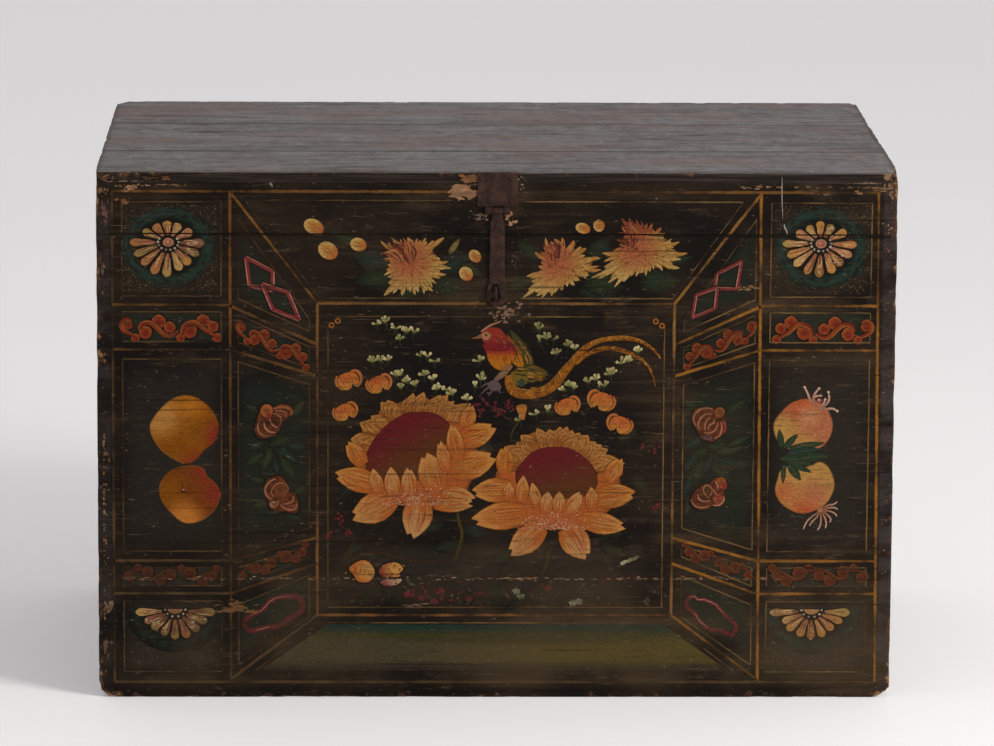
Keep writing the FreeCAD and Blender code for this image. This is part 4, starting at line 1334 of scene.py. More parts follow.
POME_LEAVES = (
    (323, 291, 320, 311, 8, LEAF_DARK), (326, 290, 341, 306, 8, LEAF_DARK),
    (332, 289, 371, 296, 9, LEAF_DARK), (330, 283, 366, 289, 10, LEAF_BLUE),
    (334, 277, 378, 281, 11, LEAF_DARK), (336, 274, 360, 271, 7, LEAF_DARK),
    (335, 272, 357, 262, 7, LEAF_DARK), (331, 272, 345, 253, 10, LEAF_DARK),
    (326, 271, 325, 249, 6, LEAF_OLIVE), (344, 276, 320, 278, 11, LEAF_DARK),
)
lay_leaves(pomes, POME_LEAVES, coats=4, cover=1.0)
hang_film(pomes, "pomegranates")

# Wing flowers: curled roses in the slanting side cells, brown-orange with paler rims, over dim leaves.
# Each rose is a few thick curved marks and round lobes, drawn from the outside in.
ROSE_DEEP = (58, 29, 16)
ROSE_BODY = (114, 58, 30)
ROSE_RIM = (158, 104, 76)
ROSE_RED = (122, 46, 42)
roses = new_film(coats=2.9, levels=STACKED)


def curled_rose(x, z, body, lobes, arcs):
    # body: the outline; lobes: middle, half size and colour;
    # arcs: petal rims as a line, its width and how pale it is
    def at(points, grow=1.0):
        return [(x + across * grow, z + up * grow) for across, up in points]
    lay_patch(roses, flow(at(body, 1.1), 40, True), (18, 12, 8, 0.7))
    lay_patch(roses, flow(at(body), 40, True),
              lambda px, pz, ring: mixed(ROSE_DEEP, (92, 46, 24), 0.5 + 0.5 * math.sin((px + pz) * 0.7)),
              rim=0.6)
    for across, up, wide, high, colour in lobes:
        lay_patch(roses, round_outline(x + across, z + up, wide, high, 16),
                  lambda px, pz, ring, c=colour: mixed(mixed(c, ROSE_DEEP, 0.6), c, ring * 1.2), rim=0.5)
    for knots, wide, light in arcs:
        line = flow(at(knots), 16)
        lay_stroke(roses, line, brush(wide * 1.8, 0.6, 0.5, 0.5), faint(ROSE_BODY, 0.8), 0.1)
        lay_stroke(roses, line, brush(wide, 0.5, 0.4, 0.5), mixed(ROSE_BODY, ROSE_RIM, light), 0.4)


WING_LEAVES = (
    (-262, 296, -280, 288, 12, LEAF_DARK), (-256, 292, -230, 302, 16, LEAF_DARK),
    (-254, 290, -264, 262, 14, LEAF_OLIVE), (-250, 288, -222, 272, 16, LEAF_BLUE),
    (-244, 280, -226, 250, 14, LEAF_DARK), (-230, 326, -217, 344, 13, LEAF_OLIVE),
    (-240, 218, -220, 206, 14, LEAF_DARK), (-256, 226, -276, 222, 11, LEAF_OLIVE),
    (246, 298, 226, 308, 15, LEAF_DARK), (240, 292, 274, 288, 17, LEAF_DARK),
    (250, 284, 282, 292, 14, LEAF_OLIVE), (242, 284, 262, 264, 15, LEAF_BLUE),
    (238, 288, 218, 276, 15, LEAF_DARK), (234, 276, 218, 242, 17, LEAF_DARK),
    (226, 240, 214, 212, 12, LEAF_OLIVE), (244, 280, 236, 262, 9, LEAF_BLUE),
    (232, 300, 212, 290, 12, LEAF_BLUE), (250, 276, 284, 270, 14, LEAF_BLUE),
    (262, 292, 288, 304, 12, LEAF_DARK), (228, 284, 212, 262, 12, LEAF_BLUE),
    (246, 268, 268, 248, 12, LEAF_DARK), (222, 258, 212, 232, 10, LEAF_BLUE),
    (262, 332, 282, 346, 12, LEAF_DARK), (226, 332, 212, 346, 10, LEAF_DARK),
    (-262, 284, -284, 268, 12, LEAF_DARK), (-236, 292, -214, 290, 12, LEAF_BLUE),
    (-250, 274, -246, 258, 10, LEAF_BLUE), (-228, 236, -214, 246, 10, LEAF_DARK),
    (-262, 250, -280, 256, 10, LEAF_DARK), (-268, 330, -284, 340, 10, LEAF_DARK),
)
lay_leaves(roses, WING_LEAVES, coats=2.2, cover=0.75)
curled_rose(-251, 320,
            [(-15, 15), (-20, 0), (-22, -11), (-18, -18), (-10, -20), (0, -17), (6, -11), (10, -2),
             (16, 4), (21, 11), (18, 17), (6, 19), (0, 16), (-7, 20), (-14, 17)],
            [(-8, 12, 7, 7.6, (136, 74, 32)), (-6, 6, 3, 5, (116, 46, 28)), (9, 11, 8, 5, (104, 54, 28))],
            [([(-16, 2), (-18, -5), (-17, -12), (-11, -17), (-6, -16)], 2.8, 0.5),
             ([(-11, -1), (-10, -7), (-5, -12), (2, -13)], 2.6, 1.0),
             ([(-5, 4), (-3, -2), (1, -6), (5, -7)], 2.4, 0.8),
             ([(-1, 8), (3, 8), (8, 4), (8, -1), (6, -5)], 2.0, 0.6),
             ([(0, 14), (6, 16), (14, 16), (20, 12), (19, 7)], 4.2, 0.3),
             ([(1, 12), (8, 12), (13, 9), (14, 4)], 1.8, 0.7)])
curled_rose(-243, 240,
            [(-19, 2), (-16, 12), (-7, 17), (1, 16), (7, 8), (8, 0), (16, -3), (19, -11), (20, -20),
             (17, -26), (5, -24), (-4, -24), (-12, -20), (-15, -12)],
            [(-1, 2, 7, 7.4, (100, 56, 26)), (11, -20, 8, 4, ROSE_RED), (-8, -16, 5, 4, (128, 92, 62))],
            [([(-6, 14), (-14, 9), (-18, 1), (-15, -7), (-10, -10)], 2.8, 0.7),
             ([(6, 7), (0, 9), (-7, 6), (-11, -1), (-8, -8)], 2.0, 0.6),
             ([(6, 7), (8, 2), (5, -3), (2, -7)], 2.0, 0.4),
             ([(14, -6), (13, -12), (7, -15), (2, -15)], 3.4, 0.4),
             ([(18, -14), (16, -21), (9, -22), (2, -19), (0, -16)], 3.2, 0.5),
             ([(-3, -11), (-4, -16), (-8, -19)], 2.2, 0.6)])
curled_rose(248, 321,
            [(-26, 4), (-25, 12), (-17, 15), (-10, 16), (-3, 13), (3, 16), (10, 12), (10, 4), (12, -1),
             (12, -8), (8, -16), (3, -20), (-2, -24), (-8, -23), (-16, -20), (-21, -11), (-26, -2)],
            [(4, 10, 5.6, 5.6, (118, 66, 26)), (9, -7, 3.4, 7.4, ROSE_RED), (-9, -19, 6, 3, (84, 58, 60))],
            [([(-3, 13), (-10, 15), (-18, 13), (-24, 7), (-25, 1), (-22, -6)], 2.4, 0.7),
             ([(-4, 8), (-11, 8), (-17, 3), (-20, -4), (-18, -10)], 2.2, 0.8),
             ([(-6, 4), (-10, 1), (-12, -5), (-12, -11)], 2.0, 0.8),
             ([(-2, 2), (-2, -2), (-7, -5), (-9, -10)], 1.8, 0.9),
             ([(-13, -13), (-7, -14), (-1, -11), (2, -5), (2, -1)], 2.4, 0.6),
             ([(-1, -20), (5, -16), (7, -8), (6, -1)], 2.6, 0.7),
             ([(0, 13), (5, 15), (9, 11), (7, 6)], 1.8, 0.5)])
curled_rose(249, 241,
            [(-28, -11), (-24, -1), (-18, 4), (-14, 7), (-8, 7), (-2, 14), (5, 15), (11, 12), (13, 5),
             (10, -1), (9, -6), (10, -12), (5, -18), (-3, -18), (-10, -22), (-19, -22), (-26, -18)],
            [(6, 9, 5.8, 6.4, (124, 66, 26)), (10, 6, 3, 4.6, ROSE_RED), (3, -10, 5.6, 6, (132, 60, 40)),
             (-9, -1, 3.6, 6, (66, 42, 20))],
            [([(-9, -8), (-13, -3), (-14, 2), (-11, 6), (-6, 4), (-4, -2), (-8, -8)], 2.0, 0.7),
             ([(-20, -5), (-19, -10), (-13, -13), (-6, -12)], 2.6, 0.8),
             ([(-28, -11), (-23, -18), (-15, -20), (-7, -18)], 2.4, 0.6),
             ([(-1, 11), (2, 6), (2, 1)], 2.2, 0.9), ([(9, -6), (9, -12), (4, -17), (-3, -17)], 2.4, 0.9),
             ([(-4, 2), (-1, -2), (2, -6)], 2.2, 0.6)])
hang_film(roses, "wing_roses")

# Chrysanthemums and loose buds in the upper panel: narrow pointed petals, ochre below and redder above.
# The petals are single strokes laid from the outside in, over soft dark leaves.
MUM_OCHRE = (140, 94, 38)
MUM_CREAM = (152, 116, 58)
MUM_LIGHT = (172, 144, 90)
MUM_PINK = (146, 80, 48)
MUM_RED = (134, 58, 36)
MUM_BROWN = (84, 46, 26)
MUM_DARK_RED = (112, 46, 30)
BUD_OCHRE = (142, 96, 40)
BUD_RED = (144, 72, 32)
mum_leaves = new_film(coats=2.2)
MUM_LEAVES = (
    (-120, 498, -162, 510, 28, LEAF_BLUE), (-116, 486, -160, 478, 26, LEAF_DARK),
    (-72, 480, -34, 470, 28, LEAF_DARK), (-66, 494, -30, 508, 26, LEAF_BLUE),
    (-84, 472, -112, 463, 16, LEAF_DARK), (48, 506, 22, 526, 18, LEAF_DARK),
    (98, 484, 142, 474, 32, LEAF_DARK), (104, 506, 126, 530, 24, LEAF_DARK),
    (160, 480, 208, 482, 28, LEAF_DARK), (92, 470, 134, 464, 14, LEAF_BLUE),
    (36, 482, 10, 470, 16, LEAF_OLIVE), (-158, 524, -190, 538, 14, LEAF_DARK),
    (190, 506, 220, 508, 14, LEAF_BLUE), (-40, 500, -16, 486, 14, LEAF_OLIVE),
)
lay_leaves(mum_leaves, MUM_LEAVES, coats=2.2, cover=0.6)
lay_leaf(mum_leaves, (-54, 512), (-42, 529), 8, (118, 96, 54), 2.6, 0.8)
hang_film(mum_leaves, "chrysanthemum_leaves")

# rows of petals, from the outside in: place between two tips, reach, width and root
MUM_ROWS = (
    (0.0, 1.0, 5.0, 0.60), (0.5, 0.92, 4.6, 0.58), (0.25, 0.88, 4.2, 0.54), (0.75, 0.82, 4.0, 0.50),
    (0.12, 0.76, 3.8, 0.46), (0.62, 0.70, 3.6, 0.42), (0.37, 0.64, 3.4, 0.38), (0.87, 0.58, 3.4, 0.32),
    (0.0, 0.50, 3.2, 0.26), (0.5, 0.42, 3.0, 0.18), (0.25, 0.34, 2.8, 0.10), (0.8, 0.26, 2.6, 0.04))


def chrysanthemum(name, x, z, tips, core, crown, seed):
    # tips: where the outer petals end; core: middle of the pink part;
    # crown: middle and size of the curled top
    film = new_film(coats=2.6, levels=STACKED)
    draw = random.Random(seed)
    around = sorted(tips, key=lambda tip: math.atan2(tip[1], tip[0]))

    def flesh(px, pz, light):
        colour = mixed(mixed(MUM_OCHRE, MUM_CREAM, (z + 2 - pz) / 26), MUM_LIGHT, light)
        colour = mixed(colour, MUM_PINK, 1.5 * toward(px, pz, (x + core[0], z + core[1]), 32))
        return mixed(colour, MUM_DARK_RED, min(0.65, (pz * MILLIMETRE - SEAM) / 0.004))

    def between_tips(number, share):
        first, second = around[number], around[(number + 1) % len(around)]
        return part_way(first, second, share)
    body = []
    for number, tip in enumerate(around):
        notch = between_tips(number, 0.5)
        body += [(x + tip[0] * 0.82, z + tip[1] * 0.82), (x + notch[0] * 0.76, z + notch[1] * 0.76)]
    lay_patch(film, body, lambda px, pz, ring: mixed(flesh(px, pz, 0.0), MUM_BROWN, 0.45), (x, z),
              (1.0, 0.85, 0.6, 0.3))
    for level, (share, reach, wide, root) in enumerate(MUM_ROWS):
        for number in range(len(around)):
            tip = between_tips(number, share + (draw.uniform(-0.2, 0.2) if level else 0.0))
            far = reach * (draw.uniform(0.86, 1.08) if level else 1.0)
            end = (x + tip[0] * far, z + tip[1] * far)
            start = (x + tip[0] * root, z + tip[1] * root)
            bow = draw.uniform(-2.6, 2.6)
            middle = ((start[0] + end[0]) / 2 + bow * 0.6, (start[1] + end[1]) / 2 + bow)
            light = draw.uniform(0.0, 0.9)
            gap = draw.uniform(0.25, 0.75)

            def petal_shade(t, side, start=start, end=end, light=light, gap=gap):
                colour = flesh(*part_way(start, end, t), light * t)
                return mixed(colour, MUM_BROWN, gap * (1.0 - 0.6 * t)) if side < 0 else colour
            lay_stroke(film, flow([start, middle, end], 7),
                       brush(wide * draw.uniform(0.8, 1.1), 0.75, 0.08, 0.4), petal_shade, 0.8)
    crown_x, crown_z, crown_wide, crown_high = crown
    for number in range(60):
        turn, size = math.radians(draw.uniform(50, 225)), draw.uniform(0.4, 1.0)
        end = (x + crown_x + crown_wide * size * math.cos(turn),
               z + crown_z + crown_high * size * math.sin(turn))
        start = (x + core[0] + draw.uniform(-6, 6), z + core[1] + draw.uniform(-8, 4))
        root = draw.uniform(0.1, 0.5)
        start = part_way(start, end, root)
        bow = draw.uniform(0.12, 0.3)
        middle = ((start[0] + end[0]) / 2 + (end[1] - start[1]) * bow,
                  (start[1] + end[1]) / 2 - (end[0] - start[0]) * bow)
        light = flesh(*middle, draw.uniform(0.1, 0.9))
        colour = mixed((50, 26, 18), MUM_RED, draw.random()) if number % 2 == 0 else light
        lay_stroke(film, flow([start, middle, end], 8), brush(draw.uniform(1.4, 2.6), 0.4, 0.2), colour)
    hang_film(film, f"chrysanthemum_{name}")


chrysanthemum("first", -95, 502,
              [(-32, -15), (-32, -38), (-28, -3), (-30, 9), (43, -7), (40, 1), (35, 28), (26, 20),
               (15, 28), (23, -33), (13, -36), (3, -37), (31, -18), (-12, -38), (-22, -36), (-22, 27),
               (-6, 28), (5, 27), (38, -14), (-36, 24)],
              (-4, 2), (-15, 10, 22, 18), 71)
chrysanthemum("second", 73, 496,
              [(-40, -10), (-44, -34), (-38, -25), (-23, -35), (-31, 18), (-29, -5), (-19, 34), (-9, 33),
               (-1, 34), (13, 31), (8, 26), (27, 22), (34, 12), (43, 11), (44, -2), (27, -12), (14, -20),
               (0, -26), (-12, -32)],
              (-7, 8), (-6, 18, 18, 15), 72)
chrysanthemum("third", 163, 514,
              [(-45, -1), (-43, -17), (-57, -29), (-38, -35), (-31, -40), (-33, 1), (-29, 14), (-24, 38),
               (-15, 39), (-7, 37), (5, 33), (11, 33), (21, 28), (25, 22), (33, 15), (42, 12), (37, 2),
               (51, -1), (42, -18), (23, -21), (4, -27), (-7, -28), (-21, -34)],
              (-8, 4), (-10, 16, 20, 22), 73)
buds = new_film(coats=3.4)
for x, z, wide, high, turn, pale in ((-206, 542, 12, 8.6, -0.5, 0.2), (-190, 515, 12, 9.6, -0.6, 0.4),
                                     (-156, 522, 9.5, 7.6, -0.3, 0.6), (-25, 509, 8, 6.4, -0.9, 0.3),
                                     (-35, 489, 8.6, 7.4, -0.9, 0.8), (96, 541, 8.6, 6, -0.3, 0.3),
                                     (114, 544, 6.4, 7, 0.2, 0.3)):
    lean = (math.cos(turn), math.sin(turn))

    def bud_shade(px, pz, ring, x=x, z=z, wide=wide, lean=lean, pale=pale):
        along = ((px - x) * lean[0] + (pz - z) * lean[1]) / wide
        colour = mixed(mixed(BUD_OCHRE, MUM_CREAM, pale), BUD_RED, along * 0.9)
        return mixed(colour, MUM_LIGHT, 0.6 if ring > 0.85 and along < 0.3 else 0.0)
    lay_patch(buds, round_outline(x, z, wide, high, 16, turn), bud_shade, rim=0.7)
    for share in (-0.35, 0.15):
        lay_stroke(buds, [(x - wide * 0.6 * lean[0], z - wide * 0.6 * lean[1] + share * high),
                          (x + wide * 0.1 * lean[0], z + share * high * 0.8),
                          (x + wide * 0.7 * lean[0], z + wide * 0.7 * lean[1] + share * high * 0.3)],
                   brush(1.3, 0.4, 0.1), (142, 80, 40), coats=3.8)
hang_film(buds, "loose_buds")

# Two great blossoms in the middle panel: pointed ochre petals round a dark red head, seen from the side.
# The petals behind make one ragged band, those in front rise over the seed head, and their bases turn pink.
LOTUS_OCHRE = (140, 77, 16)
LOTUS_LIGHT = (152, 94, 34)
LOTUS_RIM = (168, 120, 66)
LOTUS_FLESH = (140, 70, 30)
LOTUS_LINE = (92, 46, 18)
LOTUS_VEIN = (138, 64, 28)
LOTUS_PALE = (152, 108, 68)
LOTUS_SHADE = (106, 66, 26)
SEED_CRIMSON = (80, 20, 22)
SEED_BROWN = (74, 38, 16)
FLECK_DARK = (144, 78, 46)
FLECK_PALE = (180, 138, 108)
FLECK_LEVELS = 48


def blossom(name, band, head, skirt, petals, front_petals, lit, seed):
    # lit: the way that the seed head turns brown, how soon, and the place where the petals meet
    film = new_film(coats=2.6, levels=STACKED)
    draw = random.Random(seed)
    middle = middle_of(head)

    def petal(base, tip, width, tooth, warm, marks, dim=0.0):
        fresh = draw.uniform(0.1, 0.9)
        outer = mixed(LOTUS_OCHRE, LOTUS_LIGHT, fresh)
        outer = mixed(outer, LOTUS_PALE, 1.6 * toward(*tip, (lit[3], lit[4] - 26), 110))
        outer = mixed(outer, LOTUS_SHADE, dim)
        inner = mixed(mixed(LOTUS_OCHRE, LOTUS_FLESH, warm), LOTUS_SHADE, dim)

        def petal_shade(along, ring):
            colour = mixed(inner, outer, (along - 0.15) / 0.7)
            return mixed(colour, LOTUS_RIM, 0.6 if 0.85 < ring < 1 and along > 0.45 else 0.0)
        veins = (mixed(inner, LOTUS_LINE, 0.3), mixed(outer, LOTUS_RIM, 0.5), LOTUS_VEIN, outer,
                 mixed(outer, LOTUS_PALE, 0.6))
        border = mixed(LOTUS_LINE, LOTUS_OCHRE, 0.25)
        lay_petal(film, base, tip, width + 1.2, border, PETAL_POINTED, tooth, rim=0.7)
        lay_petal(film, base, tip, width, petal_shade, PETAL_POINTED, tooth, (veins, marks, draw), 0.85)
    reach = [math.hypot(x - middle[0], z - middle[1]) for x, z in band]
    lay_patch(film, band, (126, 69, 18), middle, (0.94, 0.84, 0.7, 0.4))
    behind = range(1, len(band) - 4)
    for row, (length, root) in enumerate(((1.0, 0.6), (0.9, 0.55))):
        for number in sorted(behind, key=lambda k: -abs(k - len(band) * 0.45)):
            if row == 0 and reach[number] < min(reach[number - 1], reach[number + 1]):
                continue
            lean = draw.uniform(-3, 3)
            tip = part_way(middle, band[number], length)
            base = part_way(middle, tip, root)
            petal((base[0] + lean, base[1]), tip, draw.uniform(13, 18) - 3 * row, 0, 0.9, 9, 0.65)
    lay_patch(film, flow(skirt, 40, True), LOTUS_FLESH)

    def head_shade(x, z, ring):
        turned = ((x - middle[0]) * lit[0] + (z - middle[1]) * lit[1]) / 30 + lit[2]
        colour = mixed(SEED_CRIMSON, SEED_BROWN, turned)
        return mixed(colour, (54, 20, 14), 0.5 if ring == 1.0 else 0.0)
    lay_patch(film, flow(head, 48, True), head_shade, rings=(1.0, 0.95, 0.75, 0.5, 0.25), rim=0.9)
    for shape in petals:
        petal(*shape, 0.6, 26)
    for shape in front_petals:
        petal(*shape, 0.8, 14)
    # rubbed and flaked where the petals meet
    top = film["marks"]
    for number in range(330):
        film["marks"] = top + number % FLECK_LEVELS
        spot = (lit[3] + draw.triangular(-46, 46), lit[4] - 13 + abs(draw.gauss(0, 10)))
        colour = mixed(FLECK_DARK, FLECK_PALE, draw.random() ** 1.3)
        if number % 2:
            fleck = round_outline(*spot, draw.uniform(0.4, 1.4), draw.uniform(0.3, 1.0), 6, draw.random())
            lay_patch(film, fleck, colour, rings=(1.0,), rim=0.95)
            continue
        turn = math.atan2(spot[1] - lit[4] + 12, spot[0] - lit[3])
        reach = draw.uniform(1.0, 2.6)
        line = [(spot[0] + reach * k * math.cos(turn), spot[1] + reach * k * math.sin(turn))
                for k in (-1, 0, 1)]
        lay_stroke(film, line, brush(draw.uniform(0.6, 1.2), 0.3, 0.2), colour, 0.95)
    hang_film(film, name)


blossom("blossom_left",
        [(-161, 267), (-168, 289), (-164, 299), (-155, 296), (-154, 318), (-147, 320), (-141, 326),
         (-137, 325), (-130, 342), (-123, 344), (-116, 342), (-100, 347), (-95, 345), (-94, 352),
         (-87, 350), (-82, 353), (-72, 345), (-67, 341), (-63, 350), (-59, 347), (-55, 350), (-48, 343),
         (-44, 334), (-40, 338), (-35, 335), (-29, 340), (-25, 328), (-28, 317), (-38, 301), (-40, 270),
         (-80, 240), (-140, 245)],
        [(-147, 268), (-145, 285), (-139, 298), (-128, 312), (-116, 322), (-101, 330), (-85, 331),
         (-71, 330), (-60, 324), (-52, 316), (-55, 304), (-58, 290), (-68, 262), (-107, 247), (-140, 252)],
        [(-60, 318), (-28, 316), (-24, 298), (-22, 268), (-45, 226), (-90, 222), (-138, 236), (-152, 258),
         (-139, 262), (-100, 256), (-75, 266), (-58, 290)],
        [((-150, 270), (-167, 296), 20, 1), ((-36, 314), (-27, 338), 18, 1),
         ((-42, 297), (-1, 312), 27, 1), ((-52, 264), (-1, 277), 33, 1), ((-62, 238), (-24, 232), 21, -1),
         ((-70, 224), (-27, 223), 16, 1), ((-85, 232), (-93, 186), 34, -1),
         ((-116, 232), (-161, 207), 35, -1), ((-134, 246), (-181, 261), 28, 1)],
        [((-132, 236), (-139, 265), 15, 0), ((-116, 234), (-119, 267), 18, 0),
         ((-97, 235), (-100, 266), 18, -1), ((-66, 240), (-78, 283), 33, 1),
         ((-56, 262), (-63, 297), 15, 1), ((-42, 276), (-51, 316), 19, -1)],
        (0.5, -0.85, 0.45, -95, 236), 81)
blossom("blossom_right",
        [(-1, 262), (1, 279), (6, 286), (11, 291), (17, 286), (20, 285), (23, 296), (28, 304), (46, 312),
         (48, 304), (60, 311), (72, 314), (80, 314), (86, 310), (90, 305), (94, 307), (100, 302),
         (104, 304), (109, 297), (113, 296), (119, 293), (126, 288), (127, 274), (137, 277), (139, 272),
         (145, 272), (143, 260), (138, 249), (120, 220), (70, 200), (20, 215)],
        [(22, 261), (30, 274), (41, 285), (54, 290), (68, 291), (81, 290), (95, 283), (107, 272),
         (114, 260), (114, 245), (101, 234), (71, 231), (41, 233), (25, 245)],
        [(0, 262), (22, 262), (25, 245), (41, 233), (71, 231), (101, 234), (114, 245), (116, 262),
         (140, 255), (135, 225), (105, 200), (70, 195), (35, 200), (5, 225)],
        [((10, 260), (10, 291), 20, 1), ((126, 252), (142, 277), 19, 1), ((20, 241), (-26, 241), 28, 1),
         ((112, 231), (157, 239), 28, -1), ((36, 214), (-26, 208), 32, 1), ((96, 208), (146, 197), 25, 1),
         ((52, 200), (18, 166), 31, -1), ((80, 198), (102, 162), 33, 1)],
        [((14, 230), (15, 249), 13, 0), ((29, 227), (31, 257), 15, 0), ((48, 220), (41, 249), 13, 0),
         ((109, 219), (108, 244), 15, 0), ((82, 212), (95, 239), 17, -1), ((56, 215), (59, 239), 16, 0),
         ((71, 215), (72, 239), 15, 0)],
        (0.25, -0.97, 0.4, 65, 208), 82)

# Pheasant: a golden bird facing left over the blossoms, with a crimson throat and two long curved plumes.
# Its feathers are short strokes of gold, red and olive over a darker body.
BIRD_CRIMSON = (98, 22, 26)
BIRD_RED = (114, 38, 26)
BIRD_GOLD = (142, 84, 14)
BIRD_PALE = (156, 108, 48)
BIRD_OLIVE = (62, 54, 18)
BIRD_GREEN = (36, 42, 22)
BIRD_RUST = (104, 54, 18)
BIRD_MAUVE = (92, 74, 70)
EYE = (-12, 419)
bird = new_film(coats=2.6, levels=STACKED)
quill = random.Random(23)


def bird_at(points):
    return [(EYE[0] + x, EYE[1] + z) for x, z in points]


def bird_patch(points, shade, count=30):
    lay_patch(bird, flow(bird_at(points), count, True), shade)


def bird_stroke(points, width, shade, count=14):
    lay_stroke(bird, flow(bird_at(points), count), width, shade)


def feathers(count, left, right, low, high, run, width, colours):
    # short strokes strewn over part of the body, all leaning the same way
    for number in range(count):
        x, z = quill.uniform(left, right), quill.uniform(low, high)
        reach = quill.uniform(0.6, 1.2)
        line = [(x, z), (x + run[0] * reach * 0.6, z + run[1] * reach * 0.4),
                (x + run[0] * reach, z + run[1] * reach)]
        bird_stroke(line, brush(width * quill.uniform(0.7, 1.2), 0.4, 0.1),
                    faint(quill.choice(colours), 0.8), 6)


def breast_shade(x, z, ring):
    colour = mixed(BIRD_CRIMSON, (138, 62, 16), (EYE[1] - 16 - z) / 7)
    return mixed(colour, BIRD_GOLD, (EYE[1] - 22 - z) / 9)


def plume_shade(t, side):
    colour = mixed(BIRD_GOLD, BIRD_RUST, 0.35 + 0.35 * math.sin(t * 37) * math.cos(t * 83))
    return mixed(colour, BIRD_PALE, 0.6) if side > 0 else colour


def tail_width(t):
    narrow = 11.5 - 6.0 * min(1.0, max(0.0, (t - 0.36) / 0.3))
    return narrow * min(1.0, 0.6 + t * 4) * min(1.0, (1.02 - t) / 0.22) ** 0.7


bird_patch([(33, -39), (46, -33), (60, -36), (70, -43), (62, -52), (48, -55), (37, -58), (28, -54),
            (27, -45)],
           lambda x, z, ring: mixed((94, 70, 20), BIRD_OLIVE, (x - EYE[0] - 44) / 20))
feathers(24, 31, 60, -54, -38, (9, -2), 2.0, (BIRD_PALE, BIRD_GOLD, BIRD_RUST, BIRD_GREEN))
bird_patch([(36, -52), (42, -50), (44, -57), (38, -59)], (40, 52, 40), 14)
bird_patch([(27, 6), (37, -2), (47, -14), (54, -31), (46, -37), (38, -37), (36, -24), (31, -9)],
           (52, 48, 22))
feathers(20, 33, 47, -26, -6, (5, -11), 1.7, (BIRD_PALE, BIRD_OLIVE, BIRD_GOLD, BIRD_RUST, BIRD_GREEN))
bird_patch([(24, 1), (35, -13), (42, -29), (42, -37), (35, -36), (29, -29), (26, -10)],
           lambda x, z, ring: mixed(BIRD_RUST, BIRD_GOLD, (EYE[1] - 4 - z) / 20))
feathers(9, 28, 36, -28, -8, (4, -8), 1.5, (BIRD_PALE, BIRD_OLIVE, BIRD_RUST))
LONG_PLUME = [(25, -46), (27, -58), (36, -66), (55, -67), (71, -61), (80, -53), (89, -41), (98, -30),
              (109, -17), (123, -8), (138, -4), (156, -3), (172, -6), (186, -14), (197, -26)]
SHORT_PLUME = [(102, -33), (112, -23), (125, -17), (138, -15), (152, -17), (165, -22), (179, -31),
               (188, -45), (191, -58)]
bird_stroke(SHORT_PLUME, brush(5.6, 0.5, 0.1, 0.3), plume_shade, 44)
bird_stroke(LONG_PLUME, tail_width, plume_shade, 80)
plumes = ((flow(LONG_PLUME, 90), lambda t: tail_width(t) / 2),
          (flow(SHORT_PLUME, 60), brush(2.8, 0.5, 0.1, 0.3)))
for plume, half in plumes:
    # barbs slanting across the plumes, a little past their edges
    for number in range(4, len(plume) - 2):
        x, z = plume[number]
        along = (plume[number + 1][0] - x, plume[number + 1][1] - z)
        run = math.hypot(*along)
        reach = half(number / len(plume)) * quill.choice((1.1, -1.0, 0.9))
        tip = (x - along[1] / run * reach + along[0] / run * 4,
               z + along[0] / run * reach + along[1] / run * 4)
        bird_stroke([(x, z), ((x + tip[0]) / 2, (z + tip[1]) / 2), tip],
                    brush(quill.uniform(0.9, 1.5), 0.4, 0.2),
                    quill.choice((BIRD_RUST, (88, 48, 18), BIRD_PALE, BIRD_GOLD)), 5)
feathers(8, 28, 60, -70, -60, (9, -1), 1.6, (BIRD_PALE, BIRD_RUST, BIRD_GOLD))
bird_patch([(-3, -9), (27, -8), (34, -20), (31, -31), (26, -34), (18, -40), (10, -38), (3, -30), (0, -20)],
           breast_shade, 36)
feathers(14, 4, 26, -36, -22, (2, -5), 1.4, (BIRD_PALE, BIRD_RUST, BIRD_GOLD))
bird_patch([(-6, 2), (-2, 7), (6, 9), (15, 8), (22, 0), (27, -9), (24, -17), (12, -18), (2, -16), (-3, -9)],
           lambda x, z, ring: mixed(BIRD_RED, BIRD_CRIMSON, (EYE[1] - 3 - z) / 9))
feathers(10, 8, 24, -12, 4, (3, -4), 1.2, ((146, 92, 54), BIRD_CRIMSON, (150, 74, 44), BIRD_RUST))
bird_patch([(-17, -4), (-10, -1), (-6, 1), (-5, -3), (-9, -4)], (112, 72, 42), 14)
bird_patch([(-5, 2), (0, 4), (5, 1), (4, -4), (-1, -6), (-5, -3)], (142, 92, 62), 18)
lay_patch(bird, round_outline(*EYE, 2.8, 2.3, 12), (132, 104, 52))
lay_patch(bird, round_outline(*EYE, 1.5, 1.3, 10), (34, 28, 14))
for knots in ([(-6, 4), (3, 10), (18, 17)], [(-2, 7), (6, 12), (16, 15)]):
    bird_stroke(knots, brush(2.4, 0.5, 0.2), (140, 98, 70), 9)
bird_stroke([(29, -34), (19, -44), (10, -52)], brush(7.5, 0.5, 0.5),
            lambda t, side: mixed((140, 96, 54), BIRD_MAUVE, t), 12)
bird_stroke([(29, -28), (28, -34), (22, -40)], brush(1.2, 0.5, 0.3), (70, 26, 18), 8)
bird_patch([(4, -53), (12, -52), (18, -60), (10, -64), (2, -60)], (*BIRD_MAUVE, 0.7), 16)
for knots in (
        [(8, -56), (0, -62), (-6, -68)], [(9, -58), (6, -65), (3, -70)], [(12, -58), (15, -63), (16, -67)],
        [(7, -54), (0, -56), (-6, -60)]):
    bird_stroke(knots, brush(2.0, 0.9, 0.3), faint(BIRD_MAUVE, 0.8), 7)
hang_film(bird, "pheasant")

